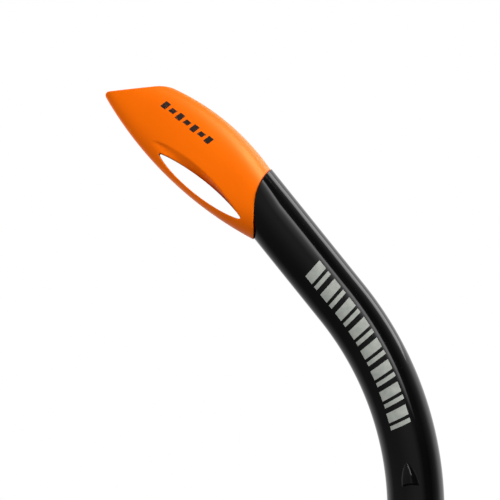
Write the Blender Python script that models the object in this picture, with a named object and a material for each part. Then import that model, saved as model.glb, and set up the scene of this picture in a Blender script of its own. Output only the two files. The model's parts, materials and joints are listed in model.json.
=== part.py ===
"""A snorkel with a splash-guard tip, a contoured barrel, a sliding strap keeper, a corrugated
drop-away hose, a purge chamber with its valve, and a mouthpiece.

Frame: metres, +Z up along the straight part of the barrel, -X towards the wearer's head, the whole
object mirror-symmetric about Y = 0. The origin is on the strap clip's flat pad face, which is where
a mask strap holds the snorkel.
"""

import math

import bmesh
import bpy
from mathutils import Matrix, Vector

MM = 0.001
GAP = 0.3 * MM  # left between pieces that touch on the real object
Y_AXIS = Vector((0, 1, 0))

# Barrel: a tube of slightly oval section, straight at the bottom, then bent over the head.
BARREL_X = 22.0 * MM  # centreline of the straight part
BARREL_HALF_WIDTH = 12.6 * MM
BARREL_HALF_DEPTH = 11.7 * MM
BARREL_WALL = 2.2 * MM
BEND_START_Z = 18.5 * MM
BEND_RADIUS = 147.0 * MM
BEND_ANGLE = math.radians(38.8)
BEND_LENGTH = BEND_RADIUS * BEND_ANGLE
BARREL_SIDES = 28

# The barrel's top end is cut along a curve: distance past the bend = middle + slope u + bow u^2.
CUT_MIDDLE = 60.1 * MM
CUT_SLOPE = 0.75
CUT_BOW = -0.0285 / MM

# Barrel foot: a shoulder, then a round spigot that the hose cuff is pushed onto.
SHOULDER_TOP_Z = -29.0 * MM
SHOULDER_BOTTOM_Z = -32.0 * MM
SHOULDER_RADIUS = 14.6 * MM
SPIGOT_BOTTOM_Z = -50.0 * MM
SPIGOT_RADIUS = 10.9 * MM
SPIGOT_BORE = 9.2 * MM

# Raised stops that keep the keeper off the bend, one on each flat side.
STOP_BASE_Z = 30.9 * MM
STOP_OFFSET = -2.5 * MM
STOP_LENGTH = 10.6 * MM
STOP_HALF_WIDTH = 3.9 * MM
STOP_HEIGHT = 2.1 * MM
STOP_EDGE_HEIGHT = 0.35 * MM
STOP_ROOT_DEPTH = 1.2 * MM
STOP_APEX_HALF = 0.3 * MM
STOP_FLAT_SHARE = 0.4
STOP_NOTCH = 0.7 * MM
STOP_STATIONS = 8

# Tip: side-view edges as arcs, each through three points (X, Z).
TIP_FRONT_EDGE = [(-114.1 * MM, 200.3 * MM), (-84.9 * MM, 163.6 * MM), (-49.3 * MM, 138.2 * MM)]
TIP_BACK_EDGE = [(-86.2 * MM, 205.5 * MM), (-65.4 * MM, 193.4 * MM), (-41.9 * MM, 169.0 * MM)]
TIP_APEX_SHARE = -0.034  # where the flat top meets the front arc
TIP_APEX_RADIUS = 1.8 * MM
TIP_CORNER_SHARE = -0.028  # where it meets the back arc
TIP_CORNER_RADIUS = 18.0 * MM
TIP_BASE_HALF_DEPTH = 11.5 * MM
TIP_APEX_HALF_DEPTH = 4.6 * MM
TIP_WALL = 2.0 * MM
TIP_SPIGOT_LENGTH = 12.0 * MM
TIP_SQUARENESS = (3.0, 2.2)  # of its front and back halves in section; 2 is an ellipse
TIP_ELLIPSE_SHARE = 0.34  # of its length, over which it grows out of the barrel's oval
PASSAGE_SQUARENESS = (2.8, 2.8)
PASSAGE_HALF_DEPTH = (8.2 * MM, 2.8 * MM)  # at its base and its apex
TIP_STATIONS = 18
TIP_SIDES = 28

# See-through slot of the tip, and the wider scoop that leads into it on each side.
SLOT_LEFT = (-91.0 * MM, 176.2 * MM)
SLOT_RIGHT = (-54.8 * MM, 147.3 * MM)
SLOT_UPPER_SAG = 2.9 * MM
SLOT_LOWER_SAG = 4.0 * MM
SCOOP_LEFT = (-95.0 * MM, 182.4 * MM)
SCOOP_SAG = 4.7 * MM
SCOOP_FLOOR_Y = 3.2 * MM
SCOOP_STEP = 0.7 * MM  # height of its wall near its upper end
SCOOP_RAMP = 0.55  # share of its length over which it runs down to its full depth
THROAT_HALF_DEPTH = 2.4 * MM  # where air turns up from the slot into the tip

# Air passage inside the tip: its lower boundary in the side view, from the spigot to the apex.
PASSAGE_FLOOR = [
    (-39.4 * MM, 139.6 * MM),
    (-47.4 * MM, 146.2 * MM),
    (-53.4 * MM, 151.4 * MM),
    (-59.4 * MM, 156.6 * MM),
    (-65.6 * MM, 162.2 * MM),
    (-70.4 * MM, 167.6 * MM),
    (-74.4 * MM, 174.8 * MM),
    (-80.8 * MM, 182.0 * MM),
    (-88.8 * MM, 188.6 * MM),
    (-96.0 * MM, 193.8 * MM),
]
BAFFLE_HALF_DEPTH = 4.2 * MM
BAFFLE_FOOT = -5.4 * MM  # where the blade leaves the ring, towards the slot
BAFFLE_THICKNESS = 1.2 * MM
BAFFLE_HEIGHT = 0.42  # where it stands in the passage, as a share of the passage's height
BAFFLE_RING_WALL = 1.3 * MM
BAFFLE_RING_HEIGHT = 6.0 * MM

# Keeper: a collar that slides on the barrel, and the strap clip that swivels on its hub.
COLLAR_CLEARANCE = 0.5 * MM
COLLAR_WALL = 2.6 * MM
COLLAR_HALF_HEIGHT = 8.0 * MM
HUB_RADIUS = 7.0 * MM
CLIP_THICKNESS = 3.0 * MM
CLIP_HALF_Y = 18.5 * MM
CLIP_HALF_Z = 17.0 * MM
CLIP_CORNER = 5.0 * MM
CLIP_SOCKET_WALL = 1.4 * MM
CLIP_SOCKET_END = 5.6 * MM
STRAP_SLOT_Y = 12.4 * MM
STRAP_SLOT_WIDTH = 5.0 * MM
STRAP_SLOT_HEIGHT = 26.0 * MM
STRAP_ENTRY = 3.0 * MM
PIN_RADIUS = 2.4 * MM
PIN_HEAD_RADIUS = 4.2 * MM
PIN_HEAD_X = (7.9 * MM, 8.9 * MM)
PIN_TIP_X = 1.5 * MM

# Hose: two plain cuffs with ten convolutions between them, bent towards the mouth at rest.
HOSE_TOP_Z = SHOULDER_BOTTOM_Z - GAP
HOSE_BEND_Z = -52.0 * MM
HOSE_LENGTH = 88.0 * MM
HOSE_ANGLE = math.radians(30.0)
HOSE_WALL = 1.4 * MM
CUFF_OUTER = 13.6 * MM
CUFF_LENGTH = 16.0 * MM
CREST_RADIUS = 14.2 * MM
VALLEY_RADIUS = 11.8 * MM
CONVOLUTIONS = 10
HOSE_SIDES = 20

# Clamp rings round the two cuffs.
RING_INNER = CUFF_OUTER + GAP
RING_OUTER = 15.9 * MM
RING_LENGTH = 10.0 * MM
RING_EDGE = 1.0 * MM

# Purge chamber, in its own frame: origin at the hose's end, local -Z along the flow.
INLET_TOP = -1.9 * MM
INLET_FLANGE_TOP = -16.3 * MM
INLET_FLANGE_BOTTOM = -18.8 * MM
INLET_FLANGE_RADIUS = 15.4 * MM
CHAMBER_RADIUS = 16.5 * MM
CHAMBER_BORE = 14.5 * MM
CHAMBER_TOP = -21.5 * MM
CHAMBER_BOTTOM = -52.0 * MM
MOUTH_AXIS_Z = -33.0 * MM
MOUTH_TILT = math.radians(3.0)
MOUTH_SPIGOT_RADIUS = 10.4 * MM
MOUTH_SPIGOT_BORE = 8.7 * MM
MOUTH_SPIGOT_END = 33.0 * MM

# Purge valve group, on the chamber's axis.
SEAT_TOP = -46.0 * MM
SEAT_BOTTOM = -48.5 * MM
SEAT_OPENING = 11.4 * MM
SEAT_HUB_RADIUS = 3.2 * MM
SEAT_SPOKE_WIDTH = 1.8 * MM
SEAT_SPOKES = 4
STEM_HOLE = 1.4 * MM
VALVE_RADIUS = 12.4 * MM
VALVE_THICKNESS = 0.9 * MM
STEM_RADIUS = 1.0 * MM
BULB_RADIUS = 1.9 * MM
BULB_LENGTH = 2.0 * MM
BULB_BOTTOM = -43.9 * MM
COVER_RADIUS = 18.4 * MM
COVER_TOP = -45.5 * MM
COVER_BOTTOM = -60.0 * MM
COVER_PLATE = 2.0 * MM
COVER_VENTS = 8
VENT_INNER = 5.0 * MM
VENT_OUTER = 13.6 * MM
VENT_WIDTH = 3.0 * MM
TURNED_SIDES = 28

# Mouthpiece, in the chamber's frame turned so that local +Z runs out towards the mouth.
NECK_START = 22.0 * MM
NECK_RADIUS = 12.8 * MM
NECK_BLEND = 41.0 * MM  # where the neck is half turned into the duct
FLANGE_AT = 50.0 * MM
FLANGE_THICKNESS = 2.2 * MM
FLANGE_HALF = (31.0 * MM, 16.5 * MM)
FLANGE_WRAP = 0.006 / MM  # how fast the flange sweeps round the teeth
DUCT_HALF = (18.0 * MM, 9.6 * MM)
DUCT_WALL = 2.4 * MM
BITE_Y = 19.5 * MM
BITE_HALF_Y = 6.0 * MM
BITE_LENGTH = 13.0 * MM
BITE_HALF_Z = 1.7 * MM
BITE_RIDGE_HALF_Z = 3.6 * MM
BITE_RIDGE_LENGTH = 3.5 * MM
MOUTHPIECE_SIDES = 28

# Cable tie round the mouthpiece's neck.
TIE_AT = 27.0 * MM
TIE_WIDTH = 4.0 * MM
TIE_THICKNESS = 1.3 * MM
TIE_HEAD = (6.5 * MM, 5.0 * MM, 5.6 * MM)


def clear_scene():
    for item in list(bpy.data.objects):
        bpy.data.objects.remove(item, do_unlink=True)


def plastic(name, colour, roughness):
    material = bpy.data.materials.new(name)
    material.use_nodes = True
    shader = material.node_tree.nodes["Principled BSDF"]
    shader.inputs["Base Color"].default_value = (*colour, 1.0)
    shader.inputs["Roughness"].default_value = roughness
    shader.inputs["Metallic"].default_value = 0.0
    return material


def add_object(name, bm, material=None):
    """The mesh as a named object, with its faces turned outwards."""
    bmesh.ops.recalc_face_normals(bm, faces=bm.faces)
    mesh = bpy.data.meshes.new(name)
    bm.to_mesh(mesh)
    bm.free()
    obj = bpy.data.objects.new(name, mesh)
    bpy.context.scene.collection.objects.link(obj)
    if material:
        mesh.materials.append(material)
        mesh.shade_smooth()
        mesh.set_sharp_from_angle(angle=math.radians(35))
    return obj


def skin(rings, closed):
    """A solid from rings of equal count. Closed joins the last ring to the first, as in a tube;
    otherwise the two end rings are capped."""
    bm = bmesh.new()
    loops = [[bm.verts.new(point) for point in ring] for ring in rings]
    count = len(loops[0])
    pairs = list(zip(loops, loops[1:]))
    if closed:
        pairs.append((loops[-1], loops[0]))
    for first, second in pairs:
        for i in range(count):
            j = (i + 1) % count
            bm.faces.new((first[i], first[j], second[j], second[i]))
    if not closed:
        bm.faces.new(loops[0])
        bm.faces.new(loops[-1])
    return bm


def boolean(target, helper, operation):
    """Cuts or joins helper into target, and keeps helper out of the model."""
    modifier = target.modifiers.new(operation.lower() + "_" + helper.name, "BOOLEAN")
    modifier.operation = operation
    modifier.solver = "EXACT"
    modifier.object = helper
    helper.hide_render = True
    helper.display_type = "WIRE"


def place(objects, matrix):
    for obj in objects:
        obj.data.transform(matrix)


def turned(profile, sides=TURNED_SIDES):
    """A ring-shaped solid: the profile's (radius, z) points turned round the Z axis."""
    rings = []
    for radius, z in profile:
        angles = [math.tau * i / sides for i in range(sides)]
        rings.append([Vector((radius * math.cos(a), radius * math.sin(a), z)) for a in angles])
    return skin(rings, closed=True)


def rod(radius, low, high, sides=TURNED_SIDES):
    """A solid round bar along Z."""
    rings = []
    for z in (low, high):
        angles = [math.tau * i / sides for i in range(sides)]
        rings.append([Vector((radius * math.cos(a), radius * math.sin(a), z)) for a in angles])
    return skin(rings, closed=False)


def block(low, high):
    """A box between two corners."""
    bm = bmesh.new()
    bmesh.ops.create_cube(bm, size=1.0)
    low, high = Vector(low), Vector(high)
    for vert in bm.verts:
        vert.co = Vector(low[k] + (vert.co[k] + 0.5) * (high[k] - low[k]) for k in range(3))
    return bm


def prism(outline, low_y, high_y):
    """A side-view outline of (X, Z) points, extruded along Y."""
    rings = [[Vector((x, y, z)) for x, z in outline] for y in (low_y, high_y)]
    return skin(rings, closed=False)


def oval_angles(sides):
    return [math.tau * i / sides for i in range(sides)]


# ---- the barrel ------------------------------------------------------------------------------


def barrel_point(s, u, v):
    """A point at s along the centreline from the bend's start, u towards the back, v along Y."""
    turn = min(max(s / BEND_LENGTH, 0.0), 1.0) * BEND_ANGLE
    tangent = Vector((-math.sin(turn), 0, math.cos(turn)))
    outward = Vector((math.cos(turn), 0, math.sin(turn)))
    centre = Vector((BARREL_X, 0, BEND_START_Z))
    centre += Vector((BEND_RADIUS * (math.cos(turn) - 1), 0, BEND_RADIUS * math.sin(turn)))
    beyond = s if s < 0 else max(0.0, s - BEND_LENGTH)
    return centre + tangent * beyond + outward * u + Y_AXIS * v


def cut_distance(u):
    """How far past the bend the barrel's top end lies, at a distance u from its centreline."""
    return CUT_MIDDLE + CUT_SLOPE * u + CUT_BOW * u * u


def barrel_ring(s, half_width, half_depth, cut_share=None):
    """A ring of the barrel. With cut_share, s is that share of the way to the curved top end."""
    ring = []
    for angle in oval_angles(BARREL_SIDES):
        u, v = half_width * math.cos(angle), half_depth * math.sin(angle)
        along = s if cut_share is None else BEND_LENGTH + cut_share * cut_distance(u)
        ring.append(barrel_point(along, u, v))
    return ring


def barrel_stations():
    return [BEND_LENGTH * i / 11 for i in range(12)]


def stop_wedge(name, side):
    """A raised arrowhead with a ridge down its middle: round at the top, notched at the base."""
    base = STOP_BASE_Z - BEND_START_Z
    bm = bmesh.new()
    rows = []
    for k in range(STOP_STATIONS):
        share = k / (STOP_STATIONS - 1)
        half = STOP_APEX_HALF + (STOP_HALF_WIDTH - STOP_APEX_HALF) * (1 - share * share) ** 0.75
        fall = max(0.0, (share - STOP_FLAT_SHARE) / (1 - STOP_FLAT_SHARE))
        ridge = STOP_HEIGHT * (1 - 0.8 * fall * fall)
        row = []
        for w, height in ((-1, STOP_EDGE_HEIGHT), (0, ridge), (1, STOP_EDGE_HEIGHT)):
            s = base + STOP_LENGTH * share + STOP_NOTCH * (1 - abs(w)) * (1 - share)
            u = STOP_OFFSET + half * w
            skin = BARREL_HALF_DEPTH * math.sqrt(1 - (u / BARREL_HALF_WIDTH) ** 2)
            upper = bm.verts.new(barrel_point(s, u, side * (skin + height)))
            lower = bm.verts.new(barrel_point(s, u, side * (skin - STOP_ROOT_DEPTH)))
            row.append((upper, lower))
        rows.append(row)
    for below, above in zip(rows, rows[1:]):
        for level in (0, 1):
            for j in (0, 1):
                bm.faces.new(
                    (below[j][level], below[j + 1][level], above[j + 1][level], above[j][level])
                )
        for j in (0, 2):
            bm.faces.new((below[j][0], above[j][0], above[j][1], below[j][1]))
    for row in (rows[0], rows[-1]):
        for j in (0, 1):
            bm.faces.new((row[j][0], row[j + 1][0], row[j + 1][1], row[j][1]))
    return add_object(name, bm)


def make_barrel(material):
    width, depth = BARREL_HALF_WIDTH, BARREL_HALF_DEPTH
    bore = (width - BARREL_WALL, depth - BARREL_WALL)
    arc = barrel_stations()
    rings = [barrel_ring(0, width, depth, cut_share=1.0)]
    rings += [barrel_ring(s, width, depth) for s in reversed(arc)]
    foot = [
        (SHOULDER_TOP_Z + 2.0 * MM, width, depth),
        (SHOULDER_TOP_Z, SHOULDER_RADIUS, SHOULDER_RADIUS),
        (SHOULDER_BOTTOM_Z, SHOULDER_RADIUS, SHOULDER_RADIUS),
        (SHOULDER_BOTTOM_Z, SPIGOT_RADIUS, SPIGOT_RADIUS),
        (SPIGOT_BOTTOM_Z, SPIGOT_RADIUS, SPIGOT_RADIUS),
        (SPIGOT_BOTTOM_Z, SPIGOT_BORE, SPIGOT_BORE),
        (SHOULDER_BOTTOM_Z, SPIGOT_BORE, SPIGOT_BORE),
        (SHOULDER_TOP_Z + 3.0 * MM, *bore),
    ]
    rings += [barrel_ring(z - BEND_START_Z, a, b) for z, a, b in foot]
    rings += [barrel_ring(s, *bore) for s in arc]
    rings.append(barrel_ring(0, *bore, cut_share=1.0))
    barrel = add_object("barrel", skin(rings, closed=True), material)
    for name, side in (("stop_front", -1), ("stop_back", 1)):
        boolean(barrel, stop_wedge(name, side), "UNION")
    return barrel


# ---- the tip ---------------------------------------------------------------------------------


def arc_through(points, shares):
    """Points of the circle through three (X, Z) points. Share 0 is the first and 1 the last;
    shares outside 0 to 1 carry on round the same circle."""
    (ax, az), (bx, bz), (cx, cz) = points
    d = 2 * (ax * (bz - cz) + bx * (cz - az) + cx * (az - bz))
    a2, b2, c2 = ax * ax + az * az, bx * bx + bz * bz, cx * cx + cz * cz
    ox = (a2 * (bz - cz) + b2 * (cz - az) + c2 * (az - bz)) / d
    oz = (a2 * (cx - bx) + b2 * (ax - cx) + c2 * (bx - ax)) / d
    radius = math.hypot(ax - ox, az - oz)
    start = math.atan2(az - oz, ax - ox)
    sweep = math.atan2(cz - oz, cx - ox) - start
    sweep = (sweep + math.pi) % math.tau - math.pi
    turns = [start + sweep * share for share in shares]
    return [Vector((ox + radius * math.cos(t), 0, oz + radius * math.sin(t))) for t in turns]


def smooth_curve(points, count):
    """A Catmull-Rom curve through (X, Z) points, evenly spaced in its parameter."""
    knots = [Vector((x, 0, z)) for x, z in points]
    knots = [2 * knots[0] - knots[1], *knots, 2 * knots[-1] - knots[-2]]
    spans = len(points) - 1
    curve = []
    for i in range(count):
        t = spans * i / (count - 1)
        k = min(int(t), spans - 1)
        t -= k
        p, q, r, s = knots[k : k + 4]
        bend = (2 * p - 5 * q + 4 * r - s) * t * t + (3 * q - p - 3 * r + s) * t * t * t
        curve.append(0.5 * (2 * q + (r - p) * t + bend))
    return curve


def squircle_ring(front, back, half_depth, powers, sides=TIP_SIDES):
    """A ring from a front-edge point to a back-edge point. The powers are its front and back
    halves': 2 is an ellipse, more is boxier."""
    middle, half = (front + back) / 2, (back - front) / 2
    ring = []
    for angle in oval_angles(sides):
        c, s = math.cos(angle), math.sin(angle)
        power = powers[0] if c < 0 else powers[1]
        across = math.copysign(abs(c) ** (2 / power), c)
        deep = math.copysign(abs(s) ** (2 / power), s)
        ring.append(middle + half * across + Y_AXIS * half_depth * deep)
    return ring


def smooth_step(value):
    value = min(1.0, max(0.0, value))
    return value * value * (3 - 2 * value)


def tip_half_depth(share):
    """Half the tip's thickness, full at its base and thinning to the apex."""
    return TIP_BASE_HALF_DEPTH + (TIP_APEX_HALF_DEPTH - TIP_BASE_HALF_DEPTH) * smooth_step(share)


def tip_powers(share):
    """How boxy the tip's front and back halves are there: elliptical where it meets the barrel."""
    return [2 + (power - 2) * smooth_step(share / TIP_ELLIPSE_SHARE) for power in TIP_SQUARENESS]


def tip_sections(count):
    """(share, front-edge point, back-edge point) from the tip's base to beyond its apex."""
    steps = [i / (count - 1) for i in range(count)]
    front = arc_through(TIP_FRONT_EDGE, [1.10 - 1.22 * t for t in steps])
    back = arc_through(TIP_BACK_EDGE, [1.22 - 1.78 * t for t in steps])
    return list(zip(steps, front, back))


def tip_body():
    """The tip's outer form, before its top is sliced."""
    rings = []
    for t, f, b in tip_sections(TIP_STATIONS):
        rings.append(squircle_ring(f, b, tip_half_depth(t), tip_powers(t)))
    return skin(rings, closed=False)


def tip_surface_y(point):
    """How far the tip's outer surface stands from the middle plane at a side-view point."""
    nearest = None
    for t, f, b in tip_sections(121):
        half = (b - f) / 2
        away = point - (f + b) / 2
        off = abs(half.x * away.z - half.z * away.x) / half.length
        if nearest is None or off < nearest[0]:
            nearest = (off, t, away.dot(half) / half.length_squared)
    _, t, across = nearest
    power = tip_powers(t)[0 if across < 0 else 1]
    within = max(0.0, 1 - abs(across) ** power)
    return tip_half_depth(t) * within ** (1 / power)


def scoop_rings(count):
    """The scoop's three lines on the +Y side: its crest on the surface, the foot of the wall below
    it and the slot's edge. Near its upper end the scoop is a shallow dent, deepest along the wall."""
    upper = bowed(SLOT_LEFT, SLOT_RIGHT, SLOT_UPPER_SAG, count, power=0.85)
    lower = bowed(SLOT_LEFT, SLOT_RIGHT, -SLOT_LOWER_SAG, count, power=0.72)[1:-1][::-1]
    outer = bowed(SCOOP_LEFT, SLOT_RIGHT, SCOOP_SAG, count, power=1.1, skew=0.85)
    crest, foot, edge = [], [], []
    for i, (near, far) in enumerate(zip(upper + lower, outer + lower)):
        t = min(1.0, i / (count - 1))
        depth_share = smooth_step(t / SCOOP_RAMP)
        wall_share = 0.13 + 0.67 * depth_share
        step = SCOOP_STEP * smooth_step(t / 0.1) + 0.05 * MM
        middle = far.lerp(near, wall_share)
        edge_y = tip_surface_y(near) - 0.1 * MM
        edge_y += (SCOOP_FLOOR_Y - edge_y) * depth_share
        rim_y = max(tip_surface_y(far), edge_y + GAP)
        dent_y = tip_surface_y(middle) - step
        wall_y = rim_y + (edge_y - rim_y) * wall_share
        crest.append(far + Y_AXIS * rim_y)
        foot.append(middle + Y_AXIS * (dent_y + (wall_y - dent_y) * depth_share))
        edge.append(near + Y_AXIS * edge_y)
    return crest, foot, edge


def rounded_outline(corners, segments=5):
    """A closed outline of ((a, b), radius) corners, each rounded by its own radius."""
    points = []
    for i, (corner, radius) in enumerate(corners):
        here = Vector(corner)
        before = (Vector(corners[i - 1][0]) - here).normalized()
        after = (Vector(corners[(i + 1) % len(corners)][0]) - here).normalized()
        if radius == 0:
            points.append((here.x, here.y))
            continue
        half = math.acos(before.dot(after)) / 2
        centre = here + (before + after).normalized() * radius / math.sin(half)
        reach = radius / math.tan(half)
        start, end = here + before * reach - centre, here + after * reach - centre
        sweep = -start.angle_signed(end)
        for k in range(segments + 1):
            c, s = math.cos(sweep * k / segments), math.sin(sweep * k / segments)
            points.append((centre.x + c * start.x - s * start.y, centre.y + s * start.x + c * start.y))
    return points


def tip_top_cutter():
    """Everything above the tip's flat top, whose two ends are rounded in the side view."""
    corners = []
    for edge, share, radius in (
        (TIP_FRONT_EDGE, TIP_APEX_SHARE, TIP_APEX_RADIUS),
        (TIP_BACK_EDGE, TIP_CORNER_SHARE, TIP_CORNER_RADIUS),
    ):
        before, here, after = arc_through(edge, [share - 0.01, share, share + 0.01])
        tangent_end = here + (after - before).normalized() * 15 * MM
        corners.append([((here.x, here.z), radius), ((tangent_end.x, tangent_end.z), 0)])
    (apex, front_end), (corner, back_end) = corners
    above = [((-50 * MM, 240 * MM), 0), ((-140 * MM, 240 * MM), 0), ((-140 * MM, 185 * MM), 0)]
    outline = rounded_outline([front_end, apex, corner, back_end, *above])
    return prism(outline, -25 * MM, 25 * MM)


def seam_side_cutter():
    """Everything below the curved seam where the tip rests on the barrel's end."""
    reach = 22.0 * MM
    count = 15
    seam = []
    for i in range(count):
        u = -reach + 2 * reach * i / (count - 1)
        held = max(-BARREL_HALF_WIDTH, min(BARREL_HALF_WIDTH, u))
        slope = CUT_SLOPE + 2 * CUT_BOW * held
        s = cut_distance(held) + (u - held) * slope + GAP
        seam.append(barrel_point(BEND_LENGTH + s, u, 0))
    low = [barrel_point(BEND_LENGTH - 10 * MM, u, 0) for u in (reach, -reach)]
    outline = [(p.x, p.z) for p in seam + low]
    return prism(outline, -25 * MM, 25 * MM)


def oval_bar(half_width, half_depth, low, high):
    """A solid oval bar along the barrel's upper straight stretch."""
    rings = [barrel_ring(BEND_LENGTH + s, half_width, half_depth) for s in (low, high)]
    return skin(rings, closed=False)


def bowed(start, end, sag, count, power=1.0, skew=1.0):
    """Points from start to end, bowed by sag to the left of the way. Power under 1 makes the ends
    blunter; skew over 1 moves the fullest place towards the end."""
    a, b = Vector((start[0], 0, start[1])), Vector((end[0], 0, end[1]))
    along = b - a
    side = Vector((-along.z, 0, along.x)).normalized()
    points = []
    for i in range(count):
        t = i / (count - 1)
        fullness = 4 * t**skew * (1 - t**skew)
        points.append(a + along * t + side * sag * fullness**power)
    return points


def slot_cutter():
    """The see-through slot, flaring on each side into a scoop along its upper edge."""
    crest, foot, edge = scoop_rings(13)
    beyond = [Vector((point.x, 20 * MM, point.z)) for point in crest]
    half = [edge, foot, crest, beyond]
    mirrored = [[Vector((point.x, -point.y, point.z)) for point in ring] for ring in half]
    return skin(mirrored[::-1] + half, closed=False)


def passage_edges(count):
    """The air passage's lower and upper boundaries in the side view."""
    floor = smooth_curve(PASSAGE_FLOOR, count)
    steps = [i / (count - 1) for i in range(count)]
    roof = arc_through(TIP_BACK_EDGE, [1.30 - 1.42 * t for t in steps])
    inset = []
    for low, high in zip(floor, roof):
        inset.append(high + (low - high).normalized() * (TIP_WALL + 0.6 * MM))
    return steps, floor, inset


def passage_cutter():
    """The hollow that carries air from the scoops to the spigot's bore."""
    steps, floor, roof = passage_edges(15)
    rings = []
    for t, low, high in zip(steps, floor, roof):
        base, apex = PASSAGE_HALF_DEPTH
        half_depth = base + (apex - base) * smooth_step(t)
        rings.append(squircle_ring(low, high, half_depth, PASSAGE_SQUARENESS, 20))
    return skin(rings, closed=False)


def throat_cutter():
    """The way up from the slot, between the two scoops, into the air passage."""
    count = 13
    lower = bowed(SLOT_LEFT, SLOT_RIGHT, 0.5 * SLOT_UPPER_SAG, count)[2:-1]
    steps, floor, _ = passage_edges(15)
    upper = [point for t, point in zip(steps, floor) if 0.2 < t < 0.72]
    lift = Vector((0.6 * MM, 0, 0.8 * MM))
    outline = [(p.x, p.z) for p in lower] + [((p + lift).x, (p + lift).z) for p in upper]
    return prism(outline, -THROAT_HALF_DEPTH, THROAT_HALF_DEPTH)


def make_tip(material):
    tip = add_object("tip_shell", tip_body(), material)
    boolean(tip, add_object("tip_top_cutter", tip_top_cutter()), "DIFFERENCE")
    boolean(tip, add_object("tip_seam_cutter", seam_side_cutter()), "DIFFERENCE")
    spigot_size = (BARREL_HALF_WIDTH - BARREL_WALL - GAP, BARREL_HALF_DEPTH - BARREL_WALL - GAP)
    spigot_top = CUT_MIDDLE - 4 * MM
    spigot_bottom = cut_distance(-BARREL_HALF_WIDTH) - TIP_SPIGOT_LENGTH
    spigot = oval_bar(*spigot_size, spigot_bottom, spigot_top)
    boolean(tip, add_object("tip_spigot", spigot), "UNION")
    bore_size = (spigot_size[0] - 1.8 * MM, spigot_size[1] - 1.8 * MM)
    bore = oval_bar(*bore_size, spigot_bottom - 2 * MM, spigot_top + 3 * MM)
    boolean(tip, add_object("tip_bore_cutter", bore), "DIFFERENCE")
    boolean(tip, add_object("tip_passage_cutter", passage_cutter()), "DIFFERENCE")
    boolean(tip, add_object("tip_slot_cutter", slot_cutter()), "DIFFERENCE")
    boolean(tip, add_object("tip_throat_cutter", throat_cutter()), "DIFFERENCE")
    return tip


def make_baffle(material):
    """The splash baffle: a ring in the tip's spigot and a curved blade across the air passage."""
    spigot_bottom = cut_distance(-BARREL_HALF_WIDTH) - TIP_SPIGOT_LENGTH
    inset = BARREL_WALL + 1.8 * MM + 2 * GAP
    size = (BARREL_HALF_WIDTH - inset, BARREL_HALF_DEPTH - inset)
    thin = (size[0] - BAFFLE_RING_WALL, size[1] - BAFFLE_RING_WALL)
    low = BEND_LENGTH + spigot_bottom + 0.5 * MM
    high = low + BAFFLE_RING_HEIGHT
    levels = [(low, size), (high, size), (high, thin), (low, thin)]
    rings = [barrel_ring(s, a, b) for s, (a, b) in levels]
    baffle = add_object("splash_baffle", skin(rings, closed=True), material)
    spine = [barrel_point(s, BAFFLE_FOOT, 0) for s in (low + 1 * MM, high, high + 8 * MM)]
    steps, floor, roof = passage_edges(15)
    for t, front, back in zip(steps, floor, roof):
        if 0.25 < t < 0.66:
            spine.append(front + (back - front) * BAFFLE_HEIGHT * min(1.0, 3.2 * (t - 0.1)))
    sides = [[], []]
    for i, point in enumerate(spine):
        along = (spine[min(i + 1, len(spine) - 1)] - spine[max(i - 1, 0)]).normalized()
        across = along.cross(Y_AXIS) * BAFFLE_THICKNESS / 2
        sides[0].append(point + across)
        sides[1].append(point - across)
    outline = [(p.x, p.z) for p in sides[0] + sides[1][::-1]]
    blade = prism(outline, -BAFFLE_HALF_DEPTH, BAFFLE_HALF_DEPTH)
    boolean(baffle, add_object("baffle_blade", blade), "UNION")
    return baffle


# ---- the keeper ------------------------------------------------------------------------------


def along_x(bm):
    """Turns a shape made along Z so that it lies along X."""
    bmesh.ops.rotate(bm, verts=bm.verts, matrix=Matrix.Rotation(math.pi / 2, 3, "Y"))
    return bm


def make_collar(material):
    """The oval ring on the barrel, with the hub that the strap clip turns on."""
    inner = (BARREL_HALF_WIDTH + COLLAR_CLEARANCE, BARREL_HALF_DEPTH + COLLAR_CLEARANCE)
    outer = (inner[0] + COLLAR_WALL, inner[1] + COLLAR_WALL)
    edge = 0.8 * MM
    levels = [
        (-COLLAR_HALF_HEIGHT, inner),
        (-COLLAR_HALF_HEIGHT, (outer[0] - edge, outer[1] - edge)),
        (-COLLAR_HALF_HEIGHT + edge, outer),
        (COLLAR_HALF_HEIGHT - edge, outer),
        (COLLAR_HALF_HEIGHT, (outer[0] - edge, outer[1] - edge)),
        (COLLAR_HALF_HEIGHT, inner),
    ]
    rings = []
    for z, (a, b) in levels:
        angles = oval_angles(BARREL_SIDES)
        rings.append([Vector((BARREL_X + a * math.cos(t), b * math.sin(t), z)) for t in angles])
    collar = add_object("keeper_collar", skin(rings, closed=True), material)
    wall_inside = BARREL_X - inner[0]
    hub = along_x(rod(HUB_RADIUS, CLIP_THICKNESS + GAP, wall_inside - 0.8 * MM))
    boolean(collar, add_object("hub", hub), "UNION")
    hole = along_x(rod(PIN_RADIUS + GAP, 0, 15 * MM, 20))
    boolean(collar, add_object("hub_hole", hole), "DIFFERENCE")
    recess = along_x(rod(PIN_HEAD_RADIUS + GAP, PIN_HEAD_X[0] - GAP, 15 * MM, 24))
    boolean(collar, add_object("pin_recess", recess), "DIFFERENCE")
    return collar


def rounded_rectangle(half_y, half_z, corner, steps=5):
    """(Y, Z) points of a rectangle with round corners."""
    points = []
    for quarter, (sy, sz) in enumerate(((1, 1), (-1, 1), (-1, -1), (1, -1))):
        for i in range(steps):
            angle = (quarter + i / (steps - 1)) * math.pi / 2
            y = sy * (half_y - corner) + corner * math.cos(angle)
            z = sz * (half_z - corner) + corner * math.sin(angle)
            points.append((y, z))
    return points


def plate(outline, low_x, high_x):
    """A (Y, Z) outline extruded along X."""
    return skin([[Vector((x, y, z)) for y, z in outline] for x in (low_x, high_x)], closed=False)


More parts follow.
